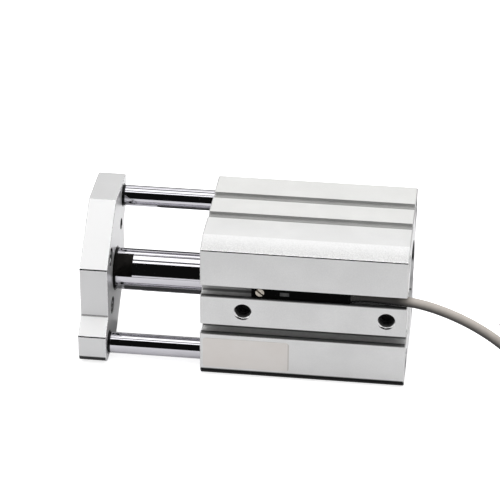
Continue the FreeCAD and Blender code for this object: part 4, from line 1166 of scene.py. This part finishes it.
class CYLINDER_OT_studio(bpy.types.Operator):
    """Set up the camera, the floor and the soft light"""

    bl_idname = "cylinder.studio"
    bl_label = "Studio"

    def execute(self, context):
        settings = studio()
        context.scene.view_settings.view_transform = "Standard"
        self.make_camera(settings)
        self.make_floor(settings)
        self.make_sky(settings)
        self.make_lamp(settings)
        for card in CARDS:
            self.make_card(*card)
        return {"FINISHED"}

    def make_camera(self, settings):
        lens = bpy.data.cameras.new("photo_camera")
        lens.lens = settings.focal_length
        lens.sensor_width = 36.0
        lens.clip_end = 50.0
        camera = add_object("photo_camera", lens)
        turn = (Matrix.Rotation(settings.camera_yaw, 4, "Z")
                @ Matrix.Rotation(math.pi / 2 + settings.camera_pitch, 4, "X")
                @ Matrix.Rotation(settings.camera_roll, 4, "Z"))
        camera.location = settings.camera_place
        camera.rotation_euler = turn.to_euler()
        bpy.context.scene.camera = camera

    def make_floor(self, settings):
        """A pale floor, which the camera sees nearly white and which lights the object less."""
        clear_selection()
        bpy.ops.mesh.primitive_plane_add(size=settings.floor_size, location=(0, 0, 0))
        floor = bpy.context.object
        floor.name = "studio_floor"
        f = Finish("studio_floor")
        seen = f.node("ShaderNodeLightPath", {}, pick="Is Camera Ray")
        f.set(Base_Color=(0.82, 0.82, 0.83), Roughness=0.9, Specular_IOR_Level=0.0, Emission_Strength=0.75)
        f.set(Emission_Color=f.mix(seen, grey(0.14), grey(1)))
        floor.data.materials.append(f.material)

    def make_sky(self, settings):
        """Plain white light all round, at full level only for the camera, gloss and glass."""
        world = bpy.data.worlds.new("studio_sky")
        bpy.context.scene.world = world
        world.use_nodes = True
        sky = NodeTree(world.node_tree)
        camera, glossy, through = [
            sky.node("ShaderNodeLightPath", {}, pick=ray)
            for ray in ("Is Camera Ray", "Is Glossy Ray", "Is Transmission Ray")]
        seen = camera.maths("MAXIMUM", glossy).maths("MAXIMUM", through)
        level = seen * (1 - settings.sky_strength) + settings.sky_strength
        light = sky.node("ShaderNodeBackground", {}, (1, 1, 1, 1), level)
        sky.node("ShaderNodeOutputWorld", {}, light)

    def make_lamp(self, settings):
        lamp = bpy.data.lights.new("overhead_softbox", "AREA")
        lamp.shape = "RECTANGLE"
        lamp.size, lamp.size_y = LAMP_SIZE
        lamp.energy = settings.overhead_power
        add_object("overhead_softbox", lamp).location = LAMP_PLACE

    def make_card(self, name, place, size, turn, level):
        """A card that shows in reflections and nowhere else."""
        clear_selection()
        bpy.ops.mesh.primitive_plane_add(size=1, location=place, rotation=turn)
        card = bpy.context.object
        card.scale = (*size, 1)
        settle(card, name)
        f = Finish(name)
        f.set(Base_Color=grey(0.0), Roughness=1.0, Specular_IOR_Level=0.0)
        f.set(Emission_Color=(*grey(level), 1.0), Emission_Strength=1.0)
        card.data.materials.append(f.material)
        card.visible_camera = False
        card.visible_diffuse = False
        card.visible_shadow = False


class CYLINDER_PT_parts(bpy.types.Panel):
    """The parts of the cylinder, in the order they are made"""

    bl_label = "Guided cylinder"
    bl_idname = "CYLINDER_PT_parts"
    bl_space_type = "VIEW_3D"
    bl_region_type = "UI"
    bl_category = "Cylinder"

    def draw(self, context):
        layout = self.layout
        for operator in MAKING_ORDER:
            layout.operator(operator.bl_idname)
        for settings in (metals(), cable(), studio()):
            box = layout.box()
            for name in settings.bl_rna.properties.keys():
                if name not in ("rna_type", "name"):
                    box.prop(settings, name)


MAKING_ORDER = (
    CYLINDER_OT_studio,
    CYLINDER_OT_signal_cable,
    CYLINDER_OT_extruded_body,
    CYLINDER_OT_tooling_plate,
    CYLINDER_OT_chromed_rods,
    CYLINDER_OT_covers,
    CYLINDER_OT_threads,
    CYLINDER_OT_position_switch,
    CYLINDER_OT_bare_label,
    CYLINDER_OT_inner_parts,
)
CLASSES = (MetalFinish, CableFinish, StudioSettings, *MAKING_ORDER, CYLINDER_PT_parts)


def register():
    for kind in CLASSES:
        bpy.utils.register_class(kind)
    bpy.types.Scene.cylinder_metals = PointerProperty(type=MetalFinish)
    bpy.types.Scene.cylinder_cable = PointerProperty(type=CableFinish)
    bpy.types.Scene.cylinder_studio = PointerProperty(type=StudioSettings)


def unregister():
    del bpy.types.Scene.cylinder_studio
    del bpy.types.Scene.cylinder_cable
    del bpy.types.Scene.cylinder_metals
    for kind in reversed(CLASSES):
        bpy.utils.unregister_class(kind)


def main():
    register()
    for operator in MAKING_ORDER:
        getattr(bpy.ops.cylinder, operator.bl_idname.split(".")[1])()


if __name__ == "__main__":
    main()
